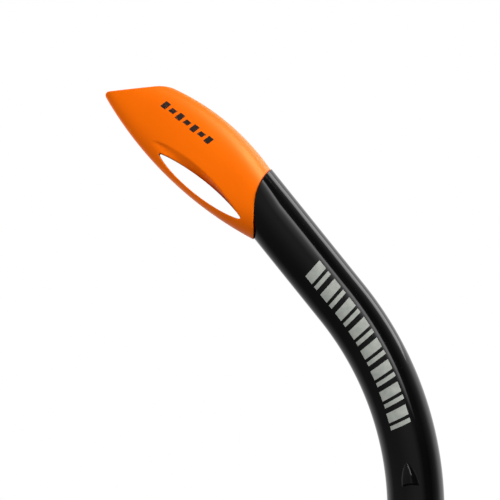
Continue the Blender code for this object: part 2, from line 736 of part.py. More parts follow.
def make_clip(material):
    """The strap clip: a pad with a slot each side, each slot open through a narrow entry."""
    outline = rounded_rectangle(CLIP_HALF_Y, CLIP_HALF_Z, CLIP_CORNER)
    clip = add_object("strap_clip", plate(outline, 0, CLIP_THICKNESS), material)
    inner = HUB_RADIUS + GAP
    outer = inner + CLIP_SOCKET_WALL
    buried = CLIP_THICKNESS - 0.5 * MM
    end = CLIP_SOCKET_END
    socket = along_x(turned([(inner, buried), (inner, end), (outer, end), (outer, buried)]))
    boolean(clip, add_object("clip_socket", socket), "UNION")
    hole = along_x(rod(PIN_RADIUS + GAP, PIN_TIP_X - GAP, 10 * MM, 20))
    boolean(clip, add_object("clip_pin_hole", hole), "DIFFERENCE")
    for name, side in (("left", -1), ("right", 1)):
        shape = rounded_rectangle(STRAP_SLOT_WIDTH / 2, STRAP_SLOT_HEIGHT / 2, 1.5 * MM)
        slot = plate([(y + side * STRAP_SLOT_Y, z) for y, z in shape], -2 * MM, 8 * MM)
        boolean(clip, add_object("strap_slot_" + name, slot), "DIFFERENCE")
        edges = sorted((side * STRAP_SLOT_Y, side * (CLIP_HALF_Y + 3 * MM)))
        entry = block((-2 * MM, edges[0], -STRAP_ENTRY / 2), (8 * MM, edges[1], STRAP_ENTRY / 2))
        boolean(clip, add_object("strap_entry_" + name, entry), "DIFFERENCE")
    return clip


def make_pin(material):
    """The swivel pin: its head in the collar's inner recess, its shank in the clip."""
    profile = [(PIN_RADIUS, PIN_TIP_X), (PIN_RADIUS, PIN_HEAD_X[0])]
    profile += [(PIN_HEAD_RADIUS, PIN_HEAD_X[0]), (PIN_HEAD_RADIUS, PIN_HEAD_X[1])]
    rings = []
    for radius, x in profile:
        angles = oval_angles(20)
        rings.append([Vector((x, radius * math.cos(t), radius * math.sin(t))) for t in angles])
    return add_object("swivel_pin", skin(rings, closed=False), material)


# ---- the hose --------------------------------------------------------------------------------


def hose_point(s, u, v):
    """A point at s down the hose from where its bend starts, u away from the mouth, v along Y."""
    radius = HOSE_LENGTH / HOSE_ANGLE
    turn = min(max(s / HOSE_LENGTH, 0.0), 1.0) * HOSE_ANGLE
    down = Vector((-math.sin(turn), 0, -math.cos(turn)))
    away = Vector((math.cos(turn), 0, -math.sin(turn)))
    centre = Vector((BARREL_X, 0, HOSE_BEND_Z))
    centre += Vector((radius * (math.cos(turn) - 1), 0, -radius * math.sin(turn)))
    beyond = s if s < 0 else max(0.0, s - HOSE_LENGTH)
    return centre + down * beyond + away * u + Y_AXIS * v


def hose_radii():
    """(distance, outer radius) down the hose: upper cuff, convolutions, lower cuff."""
    stations = [(HOSE_BEND_Z - HOSE_TOP_Z, CUFF_OUTER), (-1.5 * MM, CUFF_OUTER)]
    middle, swing = (CREST_RADIUS + VALLEY_RADIUS) / 2, (CREST_RADIUS - VALLEY_RADIUS) / 2
    for i in range(4 * CONVOLUTIONS + 1):
        wave = math.cos(math.tau * i / 4)
        stations.append((HOSE_LENGTH * i / (4 * CONVOLUTIONS), middle - swing * wave))
    stations += [(HOSE_LENGTH + 1.5 * MM, CUFF_OUTER), (HOSE_LENGTH + CUFF_LENGTH, CUFF_OUTER)]
    return stations


def make_hose(material):
    rings = []
    bore_wall = CUFF_OUTER - SPIGOT_RADIUS - 1.5 * GAP
    sections = []
    for s, radius in hose_radii():
        in_cuff = s < 0 or s > HOSE_LENGTH
        sections.append((s, radius, radius - (bore_wall if in_cuff else HOSE_WALL)))
    for s, radius, _ in sections:
        rings.append([(s, radius * math.cos(t), radius * math.sin(t)) for t in oval_angles(HOSE_SIDES)])
    for s, _, bore in reversed(sections):
        rings.append([(s, bore * math.cos(t), bore * math.sin(t)) for t in oval_angles(HOSE_SIDES)])
    solid = skin([[hose_point(*point) for point in ring] for ring in rings], closed=True)
    return add_object("flex_hose", solid, material)


def clamp_ring():
    """A turned ring with softened edges, centred on the origin."""
    half = RING_LENGTH / 2
    profile = [
        (RING_INNER, -half),
        (RING_OUTER - RING_EDGE, -half),
        (RING_OUTER, -half + RING_EDGE),
        (RING_OUTER, half - RING_EDGE),
        (RING_OUTER - RING_EDGE, half),
        (RING_INNER, half),
    ]
    return turned(profile)


def make_clamp_rings(material, chamber_frame):
    upper = add_object("upper_clamp_ring", clamp_ring(), material)
    place([upper], Matrix.Translation((BARREL_X, 0, (SHOULDER_BOTTOM_Z + SPIGOT_BOTTOM_Z) / 2 + 1 * MM)))
    lower = add_object("lower_clamp_ring", clamp_ring(), material)
    place([lower], chamber_frame @ Matrix.Translation((0, 0, -CUFF_LENGTH / 2)))
    return upper, lower


# ---- the purge chamber and its valve ---------------------------------------------------------


def mouth_frame():
    """The mouthpiece's frame in the chamber's: local +Z out of the mouth, local Y kept."""
    turn = Matrix.Rotation(-math.pi / 2 - MOUTH_TILT, 4, "Y")
    return Matrix.Translation((0, 0, MOUTH_AXIS_Z)) @ turn


def make_housing(material, chamber_frame):
    wall_step = 3.0 * MM
    profile = [
        (SPIGOT_RADIUS, INLET_TOP),
        (SPIGOT_RADIUS, INLET_FLANGE_TOP),
        (INLET_FLANGE_RADIUS, INLET_FLANGE_TOP),
        (INLET_FLANGE_RADIUS, INLET_FLANGE_BOTTOM),
        (CHAMBER_RADIUS, CHAMBER_TOP),
        (CHAMBER_RADIUS, CHAMBER_BOTTOM),
        (CHAMBER_BORE, CHAMBER_BOTTOM),
        (CHAMBER_BORE, CHAMBER_TOP - wall_step),
        (SPIGOT_BORE, CHAMBER_TOP),
        (SPIGOT_BORE, INLET_TOP),
    ]
    housing = add_object("purge_housing", turned(profile), material)
    spigot = rod(MOUTH_SPIGOT_RADIUS, 13.5 * MM, MOUTH_SPIGOT_END)
    outlet = add_object("mouth_spigot", spigot)
    bore = add_object("mouth_bore", rod(MOUTH_SPIGOT_BORE, 6 * MM, MOUTH_SPIGOT_END + 2 * MM))
    place([outlet, bore], mouth_frame())
    place([housing, outlet, bore], chamber_frame)
    boolean(housing, outlet, "UNION")
    inside = add_object("chamber_bore", rod(CHAMBER_BORE, SEAT_TOP, CHAMBER_TOP - wall_step))
    place([inside], chamber_frame)
    boolean(housing, inside, "DIFFERENCE")
    boolean(housing, bore, "DIFFERENCE")
    return housing


def make_seat(material, chamber_frame):
    """The valve seat: a ring with spokes to a drilled hub."""
    outer = CHAMBER_BORE - GAP
    inner = SEAT_OPENING
    profile = [(inner, SEAT_TOP), (outer, SEAT_TOP), (outer, SEAT_BOTTOM), (inner, SEAT_BOTTOM)]
    seat = add_object("valve_seat", turned(profile), material)
    hub = add_object("seat_hub", rod(SEAT_HUB_RADIUS, SEAT_BOTTOM, SEAT_TOP, 20))
    hole = add_object("stem_hole", rod(STEM_HOLE, SEAT_BOTTOM - 2 * MM, SEAT_TOP + 2 * MM, 12))
    helpers = [hub]
    for k in range(SEAT_SPOKES // 2):
        reach, half = SEAT_OPENING + 1 * MM, SEAT_SPOKE_WIDTH / 2
        low, high = (-reach, -half, SEAT_BOTTOM + 0.2 * MM), (reach, half, SEAT_TOP - 0.2 * MM)
        spoke = add_object("seat_spoke_%d" % k, block(low, high))
        place([spoke], Matrix.Rotation(math.pi * k / (SEAT_SPOKES // 2), 4, "Z"))
        helpers.append(spoke)
    place([seat, hole, *helpers], chamber_frame)
    for helper in helpers:
        boolean(seat, helper, "UNION")
    boolean(seat, hole, "DIFFERENCE")
    return seat


def make_valve(material, chamber_frame):
    """The silicone mushroom valve: a thin disc, a stem and a retaining bulb."""
    top = SEAT_BOTTOM - GAP
    bottom = top - VALVE_THICKNESS
    profile = [
        (VALVE_RADIUS, bottom),
        (VALVE_RADIUS, top),
        (STEM_RADIUS, top),
        (STEM_RADIUS, BULB_BOTTOM),
        (BULB_RADIUS, BULB_BOTTOM),
        (BULB_RADIUS * 0.6, BULB_BOTTOM + BULB_LENGTH),
    ]
    rings = []
    for radius, z in profile:
        angles = oval_angles(24)
        rings.append([Vector((radius * math.cos(t), radius * math.sin(t), z)) for t in angles])
    valve = add_object("purge_valve", skin(rings, closed=False), material)
    place([valve], chamber_frame)
    return valve


def make_cover(material, chamber_frame):
    """The vented cover: a skirt round the chamber, an inner lip that holds the seat, a grille."""
    skirt_bore = CHAMBER_RADIUS + GAP
    lip_outer, lip_inner = CHAMBER_BORE - GAP, CHAMBER_BORE - GAP - 0.9 * MM
    profile = [
        (skirt_bore, COVER_TOP),
        (COVER_RADIUS - 0.8 * MM, COVER_TOP),
        (COVER_RADIUS, COVER_TOP - 0.8 * MM),
        (COVER_RADIUS, COVER_BOTTOM + 3 * MM),
        (COVER_RADIUS - 3 * MM, COVER_BOTTOM),
        (2.0 * MM, COVER_BOTTOM),
        (2.0 * MM, COVER_BOTTOM + COVER_PLATE),
        (lip_inner, COVER_BOTTOM + COVER_PLATE),
        (lip_inner, SEAT_BOTTOM - GAP),
        (lip_outer, SEAT_BOTTOM - GAP),
        (lip_outer, CHAMBER_BOTTOM - GAP),
        (skirt_bore, CHAMBER_BOTTOM - GAP),
    ]
    cover = add_object("purge_cover", turned(profile), material)
    vents = []
    for k in range(COVER_VENTS):
        low = (VENT_INNER, -VENT_WIDTH / 2, COVER_BOTTOM - 2 * MM)
        high = (VENT_OUTER - 1.6 * MM, VENT_WIDTH / 2, COVER_BOTTOM + COVER_PLATE + 2 * MM)
        vent = add_object("vent_%d" % k, block(low, high))
        place([vent], Matrix.Rotation(math.tau * (k + 0.5) / COVER_VENTS, 4, "Z"))
        vents.append(vent)
    place([cover, *vents], chamber_frame)
    for vent in vents:
        boolean(cover, vent, "DIFFERENCE")
    return cover


# ---- the mouthpiece --------------------------------------------------------------------------


def mouth_ring(half_y, half_x, z, wrap=0.0):
    """A ring across the mouthpiece; wrap sweeps its sides out round the teeth."""
    ring = []
    for angle in oval_angles(MOUTHPIECE_SIDES):
        y, x = half_y * math.cos(angle), half_x * math.sin(angle)
        ring.append(Vector((x, y, z + wrap * y * y)))
    return ring


def make_mouthpiece(material, chamber_frame):
    neck_bore = MOUTH_SPIGOT_RADIUS + GAP
    duct_bore = (DUCT_HALF[0] - DUCT_WALL, DUCT_HALF[1] - DUCT_WALL)
    step = MOUTH_SPIGOT_END + 0.5 * MM
    rings = [
        mouth_ring(NECK_RADIUS, NECK_RADIUS, NECK_START),
        mouth_ring(NECK_RADIUS, NECK_RADIUS, step),
        mouth_ring(0.4 * NECK_RADIUS + 0.6 * DUCT_HALF[0], 0.5 * (NECK_RADIUS + DUCT_HALF[1]), NECK_BLEND),
        mouth_ring(*DUCT_HALF, FLANGE_AT - 2 * MM),
        mouth_ring(DUCT_HALF[0] + 1.5 * MM, DUCT_HALF[1] + 1.5 * MM, FLANGE_AT, FLANGE_WRAP),
        mouth_ring(*FLANGE_HALF, FLANGE_AT, FLANGE_WRAP),
        mouth_ring(*FLANGE_HALF, FLANGE_AT + FLANGE_THICKNESS, FLANGE_WRAP),
        mouth_ring(*duct_bore, FLANGE_AT + FLANGE_THICKNESS, FLANGE_WRAP),
        mouth_ring(*duct_bore, FLANGE_AT - 4 * MM),
        mouth_ring(*[0.5 * (MOUTH_SPIGOT_BORE + half) for half in duct_bore], NECK_BLEND - 1 * MM),
        mouth_ring(MOUTH_SPIGOT_BORE, MOUTH_SPIGOT_BORE, step),
        mouth_ring(neck_bore, neck_bore, step),
        mouth_ring(neck_bore, neck_bore, NECK_START),
    ]
    mouthpiece = add_object("mouthpiece", skin(rings, closed=True), material)
    tabs = []
    for name, side in (("left", -1), ("right", 1)):
        root = FLANGE_AT + FLANGE_WRAP * BITE_Y**2
        ys = sorted((side * (BITE_Y - BITE_HALF_Y), side * (BITE_Y + BITE_HALF_Y)))
        end = root + BITE_LENGTH
        web = block((-BITE_HALF_Z, ys[0], root), (BITE_HALF_Z, ys[1], end - 1 * MM))
        ridge = block(
            (-BITE_RIDGE_HALF_Z, ys[0] - 0.5 * MM, end - BITE_RIDGE_LENGTH),
            (BITE_RIDGE_HALF_Z, ys[1] + 0.5 * MM, end),
        )
        tabs.append(add_object("bite_web_" + name, web))
        tabs.append(add_object("bite_ridge_" + name, ridge))
    place([mouthpiece, *tabs], chamber_frame @ mouth_frame())
    for tab in tabs:
        boolean(mouthpiece, tab, "UNION")
    return mouthpiece


def make_tie(material, chamber_frame):
    """The cable tie that holds the mouthpiece on its spigot: a band and a head."""
    inner = NECK_RADIUS + GAP
    outer = inner + TIE_THICKNESS
    low, high = TIE_AT - TIE_WIDTH / 2, TIE_AT + TIE_WIDTH / 2
    band = turned([(inner, low), (outer, low), (outer, high), (inner, high)])
    tie = add_object("mouthpiece_tie", band)
    tie.data.materials.append(material)
    deep, wide, tall = TIE_HEAD
    start = inner + 0.3 * MM
    corner = (-start - deep + 1.5 * MM, -wide / 2, TIE_AT - tall / 2)
    head = add_object("tie_head", block(corner, (-start, wide / 2, TIE_AT + tall / 2)))
    place([tie, head], chamber_frame @ mouth_frame())
    boolean(tie, head, "UNION")
    return tie


def main():
    clear_scene()
    orange = plastic("orange_shell", (0.95, 0.16, 0.0), 0.38)
    black = plastic("black_gloss", (0.012, 0.012, 0.013), 0.12)
    satin = plastic("black_satin", (0.02, 0.02, 0.021), 0.4)
    silicone = plastic("black_silicone", (0.028, 0.028, 0.03), 0.55)
    clear = plastic("valve_silicone", (0.6, 0.6, 0.58), 0.45)
    hose_end = hose_point(HOSE_LENGTH, 0, 0)
    chamber_frame = Matrix.Translation(hose_end) @ Matrix.Rotation(HOSE_ANGLE, 4, "Y")
    make_barrel(black)
    make_tip(orange)
    make_baffle(orange)
    make_collar(satin)
    make_clip(satin)
    make_pin(satin)
    make_hose(silicone)
    make_clamp_rings(satin, chamber_frame)
    make_housing(black, chamber_frame)
    make_seat(satin, chamber_frame)
    make_valve(clear, chamber_frame)
    make_cover(orange, chamber_frame)
    make_mouthpiece(silicone, chamber_frame)
    make_tie(satin, chamber_frame)


main()
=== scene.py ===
"""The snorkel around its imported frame: finished meshes, materials, light and camera.

Everything is in metres, in the frame's own coordinates: +Z up the straight barrel, -X towards the
wearer, and all but the printed marks alike on both sides of Y = 0.
"""

import json
import math

import bmesh
import bpy
from mathutils import Matrix, Vector


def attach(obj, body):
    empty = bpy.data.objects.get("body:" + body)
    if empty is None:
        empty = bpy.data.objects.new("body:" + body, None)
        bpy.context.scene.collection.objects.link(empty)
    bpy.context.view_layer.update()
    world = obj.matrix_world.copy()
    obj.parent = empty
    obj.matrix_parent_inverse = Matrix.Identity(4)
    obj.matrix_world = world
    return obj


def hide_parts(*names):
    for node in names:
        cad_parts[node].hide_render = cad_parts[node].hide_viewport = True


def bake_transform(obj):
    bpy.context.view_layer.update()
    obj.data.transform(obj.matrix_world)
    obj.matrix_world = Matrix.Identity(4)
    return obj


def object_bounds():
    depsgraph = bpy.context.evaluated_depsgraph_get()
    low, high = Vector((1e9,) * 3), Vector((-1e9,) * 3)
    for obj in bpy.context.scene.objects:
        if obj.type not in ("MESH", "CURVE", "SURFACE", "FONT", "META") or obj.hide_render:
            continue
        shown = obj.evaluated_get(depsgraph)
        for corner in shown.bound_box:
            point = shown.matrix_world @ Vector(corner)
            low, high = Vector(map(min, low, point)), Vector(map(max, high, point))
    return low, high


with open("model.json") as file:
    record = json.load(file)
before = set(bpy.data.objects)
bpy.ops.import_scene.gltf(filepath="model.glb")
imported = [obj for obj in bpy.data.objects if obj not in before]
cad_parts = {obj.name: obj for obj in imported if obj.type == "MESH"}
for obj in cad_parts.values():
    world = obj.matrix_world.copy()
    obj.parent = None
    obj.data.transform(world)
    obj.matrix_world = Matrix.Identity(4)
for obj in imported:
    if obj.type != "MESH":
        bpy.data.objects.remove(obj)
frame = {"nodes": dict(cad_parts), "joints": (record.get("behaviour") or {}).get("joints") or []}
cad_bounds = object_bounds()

MM = 0.001


def mm(*lengths):
    """Lengths in millimetres, as metres."""
    return tuple(length * MM for length in lengths)


Y_AXIS = Vector((0, 1, 0))
JOINTS = {joint["name"]: joint for joint in frame["joints"]}

GAP = 0.3 * MM

# Barrel
BARREL_X = JOINTS["hose_swivel"]["pos_m"][0]
BARREL_HALF_WIDTH = 12.6 * MM
BARREL_HALF_DEPTH = 11.7 * MM
BARREL_WALL = 2.2 * MM
BEND_START_Z = 18.5 * MM
BEND_RADIUS = 147.0 * MM
BEND_ANGLE = math.radians(38.8)
BEND_LENGTH = BEND_RADIUS * BEND_ANGLE
CUT_MIDDLE = 60.1 * MM
CUT_SLOPE = 0.75
CUT_BOW = -0.0285 / MM
SHOULDER_TOP_Z = -29.0 * MM
SHOULDER_BOTTOM_Z = -32.0 * MM
SHOULDER_RADIUS = 14.6 * MM
SPIGOT_BOTTOM_Z = -50.0 * MM
SPIGOT_RADIUS = 10.9 * MM
SPIGOT_BORE = 9.2 * MM
STOP_BASE_Z = 30.9 * MM
STOP_OFFSET = mm(-2.3, -2.9)
STOP_LENGTH = 10.6 * MM
STOP_HALF_WIDTH = 3.9 * MM
STOP_HEIGHT = 2.1 * MM
STOP_APEX_HALF = 0.3 * MM
STOP_FLAT_SHARE = 0.4
STOP_NOTCH = 0.7 * MM

# Tip
TIP_FRONT_EDGE = [mm(-114.1, 200.3), mm(-84.9, 163.6), mm(-49.3, 138.2)]
TIP_BACK_EDGE = [mm(-86.2, 205.5), mm(-65.4, 193.4), mm(-41.9, 169.0)]
TIP_APEX_SHARE = -0.034
TIP_APEX_RADIUS = 1.8 * MM
TIP_CORNER_SHARE = -0.028
TIP_CORNER_RADIUS = 18.0 * MM
TIP_BASE_HALF_DEPTH = 11.5 * MM
TIP_APEX_HALF_DEPTH = 4.6 * MM
TIP_WALL = 2.0 * MM
TIP_SPIGOT_LENGTH = 12.0 * MM
TIP_SQUARENESS = (3.0, 2.2)
TIP_ELLIPSE_SHARE = 0.34
PASSAGE_SQUARENESS = (2.8, 2.8)
PASSAGE_HALF_DEPTH = mm(8.2, 2.8)
SLOT_LEFT = mm(-91.0, 176.2)
SLOT_RIGHT = mm(-54.8, 147.3)
SLOT_UPPER_SAG = 2.9 * MM
SLOT_LOWER_SAG = 4.0 * MM
SCOOP_LEFT = mm(-95.0, 182.4)
SCOOP_SAG = 4.7 * MM
SCOOP_FLOOR_Y = 3.2 * MM
SCOOP_STEP = 0.7 * MM
SCOOP_RAMP = 0.55
THROAT_HALF_DEPTH = 2.4 * MM
PASSAGE_FLOOR = [mm(-39.4, 139.6), mm(-47.4, 146.2), mm(-53.4, 151.4), mm(-59.4, 156.6)]
PASSAGE_FLOOR += [mm(-65.6, 162.2), mm(-70.4, 167.6), mm(-74.4, 174.8), mm(-80.8, 182.0)]
PASSAGE_FLOOR += [mm(-88.8, 188.6), mm(-96.0, 193.8)]

# Keeper
COLLAR_CLEARANCE = 0.5 * MM
COLLAR_WALL = 2.6 * MM
COLLAR_HALF_HEIGHT = 8.0 * MM
HUB_RADIUS = 7.0 * MM
CLIP_THICKNESS = 3.0 * MM
CLIP_HALF_Y = 18.5 * MM
CLIP_HALF_Z = 17.0 * MM
CLIP_CORNER = 5.0 * MM
CLIP_SOCKET_WALL = 1.4 * MM
CLIP_SOCKET_END = 5.6 * MM
STRAP_SLOT_Y = 12.4 * MM
STRAP_SLOT_WIDTH = 5.0 * MM
STRAP_SLOT_HEIGHT = 26.0 * MM
STRAP_ENTRY = 3.0 * MM
PIN_RADIUS = 2.4 * MM
PIN_HEAD_RADIUS = 4.2 * MM
PIN_HEAD_X = mm(7.9, 8.9)
PIN_TIP_X = 1.5 * MM

# Hose
HOSE_TOP_Z = SHOULDER_BOTTOM_Z - GAP
HOSE_BEND_Z = -52.0 * MM
HOSE_LENGTH = 88.0 * MM
HOSE_ANGLE = math.radians(30.0)
HOSE_WALL = 1.4 * MM
CUFF_OUTER = 13.6 * MM
CUFF_LENGTH = 16.0 * MM
CUFF_BLEND = 1.5 * MM
CREST_RADIUS = 14.2 * MM
VALLEY_RADIUS = 11.8 * MM
CONVOLUTIONS = 10
RING_INNER = CUFF_OUTER + GAP
RING_OUTER = 15.9 * MM
RING_LENGTH = 10.0 * MM

# Purge chamber, in its own frame: origin at the hose's end, local -Z along the flow
INLET_TOP = -1.9 * MM
INLET_FLANGE_TOP = -16.3 * MM
INLET_FLANGE_BOTTOM = -18.8 * MM
INLET_FLANGE_RADIUS = 15.4 * MM
CHAMBER_RADIUS = 16.5 * MM
CHAMBER_BORE = 14.5 * MM
CHAMBER_TOP = -21.5 * MM
CHAMBER_BOTTOM = -52.0 * MM
MOUTH_AXIS_Z = -33.0 * MM
MOUTH_TILT = math.radians(3.0)
MOUTH_SPIGOT_RADIUS = 10.4 * MM
MOUTH_SPIGOT_BORE = 8.7 * MM
MOUTH_SPIGOT_END = 33.0 * MM
SEAT_TOP = -46.0 * MM
SEAT_BOTTOM = -48.5 * MM
COVER_RADIUS = 18.4 * MM
COVER_TOP = -45.5 * MM
COVER_BOTTOM = -60.0 * MM
COVER_PLATE = 2.0 * MM
COVER_VENTS = 8
VENT_INNER = 5.0 * MM
VENT_OUTER = 12.0 * MM
VENT_WIDTH = 3.0 * MM

# Mouthpiece, in the chamber's frame turned so that local +Z runs out towards the mouth
NECK_START = 22.0 * MM
NECK_RADIUS = 12.8 * MM
FLANGE_AT = 50.0 * MM
FLANGE_THICKNESS = 2.2 * MM
FLANGE_HALF = mm(31.0, 16.5)
FLANGE_WRAP = 0.006 / MM
DUCT_HALF = mm(18.0, 9.6)
DUCT_WALL = 2.4 * MM
BITE_Y = 19.5 * MM
BITE_HALF_Y = 6.0 * MM
BITE_LENGTH = 13.0 * MM
BITE_HALF_Z = 1.7 * MM
BITE_RIDGE_HALF_Z = 3.6 * MM
BITE_RIDGE_LENGTH = 3.5 * MM
TIE_AT = 27.0 * MM
TIE_WIDTH = 4.0 * MM
TIE_THICKNESS = 1.3 * MM
TIE_HEAD = mm(6.5, 5.0, 5.6)

# Stage. The barrel slides 20 mm down in its keeper, and a straight hose hangs lower still.
FLOOR_DROP = 26.0 * MM
LIGHT_AIM = Vector(mm(-40, 0, 110))
VIEW_FIELD = 220.0 * MM


# ---- materials ----


class Nodes:
    """A node tree with short calls for the few node kinds used here."""

    def __init__(self, tree):
        self.tree = tree

    def add(self, kind, **settings):
        """A node, with values for its sockets or its own settings by name."""
        node = self.tree.nodes.new(kind)
        for key, value in settings.items():
            if key in node.inputs:
                node.inputs[key].default_value = value
            else:
                setattr(node, key, value)
        return node

    def fill(self, socket, value):
        """Sets a socket to a number or a colour, or links another socket to it."""
        if isinstance(value, tuple):
            socket.default_value = (*value, 1.0)
        elif isinstance(value, (int, float)):
            socket.default_value = value
        else:
            self.tree.links.new(value, socket)

    def joint(self, node, values, first=0, output=0):
        """Fills a node's sockets in order from the first given, and gives back its output."""
        for k, value in enumerate(values):
            self.fill(node.inputs[first + k], value)
        return node.outputs[output]

    def maths(self, operation, *values):
        return self.joint(self.add("ShaderNodeMath", operation=operation), values)

    def mix_shaders(self, share, first, second):
        return self.joint(self.add("ShaderNodeMixShader"), (share, first, second))

    def mix(self, share, first, second):
        """Two colours mixed: all first where share is 0, all second where it is 1."""
        node = self.add("ShaderNodeMix", data_type="RGBA")
        self.fill(node.inputs["Factor"], share)
        return self.joint(node, (first, second), first=6, output=2)

    def ramp(self, value, stops):
        """A colour ramp; stops are (position, (r, g, b)) or (position, grey)."""
        node = self.add("ShaderNodeValToRGB")
        elements = node.color_ramp.elements
        while len(elements) < len(stops):
            elements.new(0.5)
        for element, (position, colour) in zip(elements, stops):
            element.position = position
            colour = colour if isinstance(colour, tuple) else (colour,) * 3
            element.color = (*colour, 1.0)
        self.fill(node.inputs["Fac"], value)
        return node.outputs["Color"]


class Shader(Nodes):
    """A material's node tree round its principled shader."""

    def __init__(self, name, roughness):
        self.material = bpy.data.materials.new(name)
        self.material.use_nodes = True
        super().__init__(self.material.node_tree)
        self.principled = self.tree.nodes["Principled BSDF"]
        self.put(Roughness=roughness)
        self.place = self.add("ShaderNodeTexCoord").outputs["Object"]

    def put(self, **values):
        """Fills the principled shader's sockets; an underscore in a name stands for a space."""
        for key, value in values.items():
            self.fill(self.principled.inputs[key.replace("_", " ")], value)

    def noise(self, scale, detail=3.0, stretch=None):
        """Noise over the object's own coordinates, from 0 to 1. Scale is in features per metre."""
        node = self.add("ShaderNodeTexNoise", Scale=scale, Detail=detail)
        place = self.place
        if stretch:
            place = self.joint(self.add("ShaderNodeMapping", Scale=stretch), [place])
        self.fill(node.inputs["Vector"], place)
        return node.outputs["Fac"]

    def mottle(self, scale, detail, low, high):
        """Noise that drifts between two greys or colours."""
        return self.ramp(self.noise(scale, detail), [(0.3, low), (0.7, high)])

    def bump(self, *layers):
        """Bump from (scale, detail, distance) layers of noise, the finest last."""
        normal = None
        for scale, detail, distance in layers:
            node = self.add("ShaderNodeBump", Distance=distance)
            self.fill(node.inputs["Height"], self.noise(scale, detail))
            if normal is not None:
                self.fill(node.inputs["Normal"], normal)
            normal = node.outputs["Normal"]
        self.put(Normal=normal)

    def edge_wear_and_highlight(self, edge_colour, kept):
        """The first colour where the surface turns sharply outwards, the second elsewhere: edge wear on the
        black plastics, and a painted highlight along the orange's crests.
        """
        pointiness = self.add("ShaderNodeNewGeometry").outputs["Pointiness"]
        edge = self.ramp(pointiness, [(0.52, 0.0), (0.58, 1.0)])
        speckle = self.ramp(self.noise(700.0, 4.0), [(0.35, 0.0), (0.65, 1.0)])
        return self.mix(self.maths("MULTIPLY", edge, speckle), kept, edge_colour)


def orange_material(name):
    """Satin moulded orange: soft mottling, a fine grain, a painted highlight on its sharp edges, and
    painted shade in the hollows, which are also duller.
    """
    s = Shader(name, 0.36)
    s.put(Specular_Tint=(1.0, 0.45, 0.08), Coat_Roughness=0.36)
    # The lighter edges here are a painted highlight along the crests.
    base = s.edge_wear_and_highlight((0.99, 0.20, 0.004), s.mottle(28.0, 4.0, (0.92, 0.146, 0.0003), (0.97, 0.158, 0.0005)))
    # Painted shade: where ambient occlusion finds a hollow, the colour darkens to a deep red-brown, and the
    # coat and gloss fade.
    shade_occlusion = s.add("ShaderNodeAmbientOcclusion", Distance=12 * MM)
    unshaded_share = s.ramp(shade_occlusion.outputs["AO"], [(0.50, 0.0), (0.90, 1.0)])
    s.put(Base_Color=s.mix(unshaded_share, (0.30, 0.020, 0.0002), base))
    s.put(Coat_Weight=s.ramp(unshaded_share, [(0.0, 0.0), (1.0, 0.13)]))
    s.put(Roughness=s.mix(unshaded_share, (0.9, 0.9, 0.9), s.mottle(90.0, 4.0, 0.36, 0.44)))
    s.bump((60.0, 2.0, 0.06 * MM), (2600.0, 3.0, 0.012 * MM))
    return s.material


def gloss_material(name):
    """Polished black: near-mirror gloss with faint hairlines and dust-fine unevenness."""
    s = Shader(name, 0.07)
    s.put(IOR=1.5, Base_Color=s.edge_wear_and_highlight((0.02, 0.02, 0.021), s.mottle(40.0, 4.0, 0.0014, 0.0028)))
    streaks = s.noise(120.0, 3.0, stretch=(14.0, 14.0, 0.6))
    s.put(Roughness=s.ramp(streaks, [(0.35, 0.05), (0.75, 0.10)]))
    s.bump((34.0, 2.0, 0.1 * MM), (900.0, 2.0, 0.003 * MM))
    return s.material


def satin_material(name):
    """Satin black moulded plastic with a fine eroded grain."""
    s = Shader(name, 0.4)
    s.put(Base_Color=s.edge_wear_and_highlight((0.05, 0.05, 0.052), s.mottle(60.0, 4.0, 0.010, 0.018)))
    s.put(Roughness=s.mottle(160.0, 4.0, 0.34, 0.46))
    s.bump((2400.0, 3.0, 0.02 * MM))
    return s.material


def silicone_material(name):
    """Soft black silicone: dull, unevenly matt, with a faint sheen."""
    s = Shader(name, 0.5)
    s.put(Sheen_Weight=0.25, Sheen_Roughness=0.4)
    s.put(Base_Color=s.edge_wear_and_highlight((0.045, 0.045, 0.047), s.mottle(45.0, 4.0, 0.012, 0.024)))
    s.put(Roughness=s.mottle(110.0, 5.0, 0.42, 0.58))
    s.bump((80.0, 2.0, 0.05 * MM), (1900.0, 3.0, 0.015 * MM))
    return s.material


def clear_silicone_material(name):
    """Milky silicone that lets some light in."""
    s = Shader(name, 0.35)
    s.put(Subsurface_Weight=0.4)
    s.principled.inputs["Subsurface Radius"].default_value = mm(2, 2, 2)
    s.put(Base_Color=s.mottle(300.0, 3.0, (0.62, 0.62, 0.58), (0.74, 0.74, 0.70)))
    s.bump((1200.0, 2.0, 0.01 * MM))
    return s.material


def ink_material(name, low, high, rough):
    """A printed patch: even colour, slightly thin in places."""
    s = Shader(name, rough)
    s.put(Base_Color=s.mottle(420.0, 4.0, low, high))
    s.put(Roughness=s.mottle(500.0, 3.0, rough - 0.06, rough + 0.08))
    s.bump((3000.0, 2.0, 0.006 * MM))
    return s.material


ORANGE = orange_material("orange_satin")
GLOSS = gloss_material("black_polished")
SATIN = satin_material("black_satin")
SILICONE = silicone_material("black_silicone_soft")
CLEAR = clear_silicone_material("clear_silicone")
GREY_INK = ink_material("grey_ink", (0.33, 0.35, 0.32), (0.42, 0.44, 0.40), 0.42)
BLACK_INK = ink_material("black_ink", (0.012, 0.008, 0.006), (0.022, 0.014, 0.010), 0.45)


# ---- mesh helpers ----


def smooth_step(value):
    """Rises from 0 to 1 with the value, slow at both ends."""
    value = min(1.0, max(0.0, value))
    return value * value * (3 - 2 * value)


def between(low, high, share):
    """The number at that share of the way from low to high."""
    return low + (high - low) * share


def steps(count):
    """Shares from 0 to 1, that many equal steps apart."""
    return [i / count for i in range(count + 1)]


def squared(value, power):
    """A sine or cosine of a circle made that of a boxier ring; power 2 leaves it as it is."""
    return math.copysign(abs(value) ** (2 / power), value)


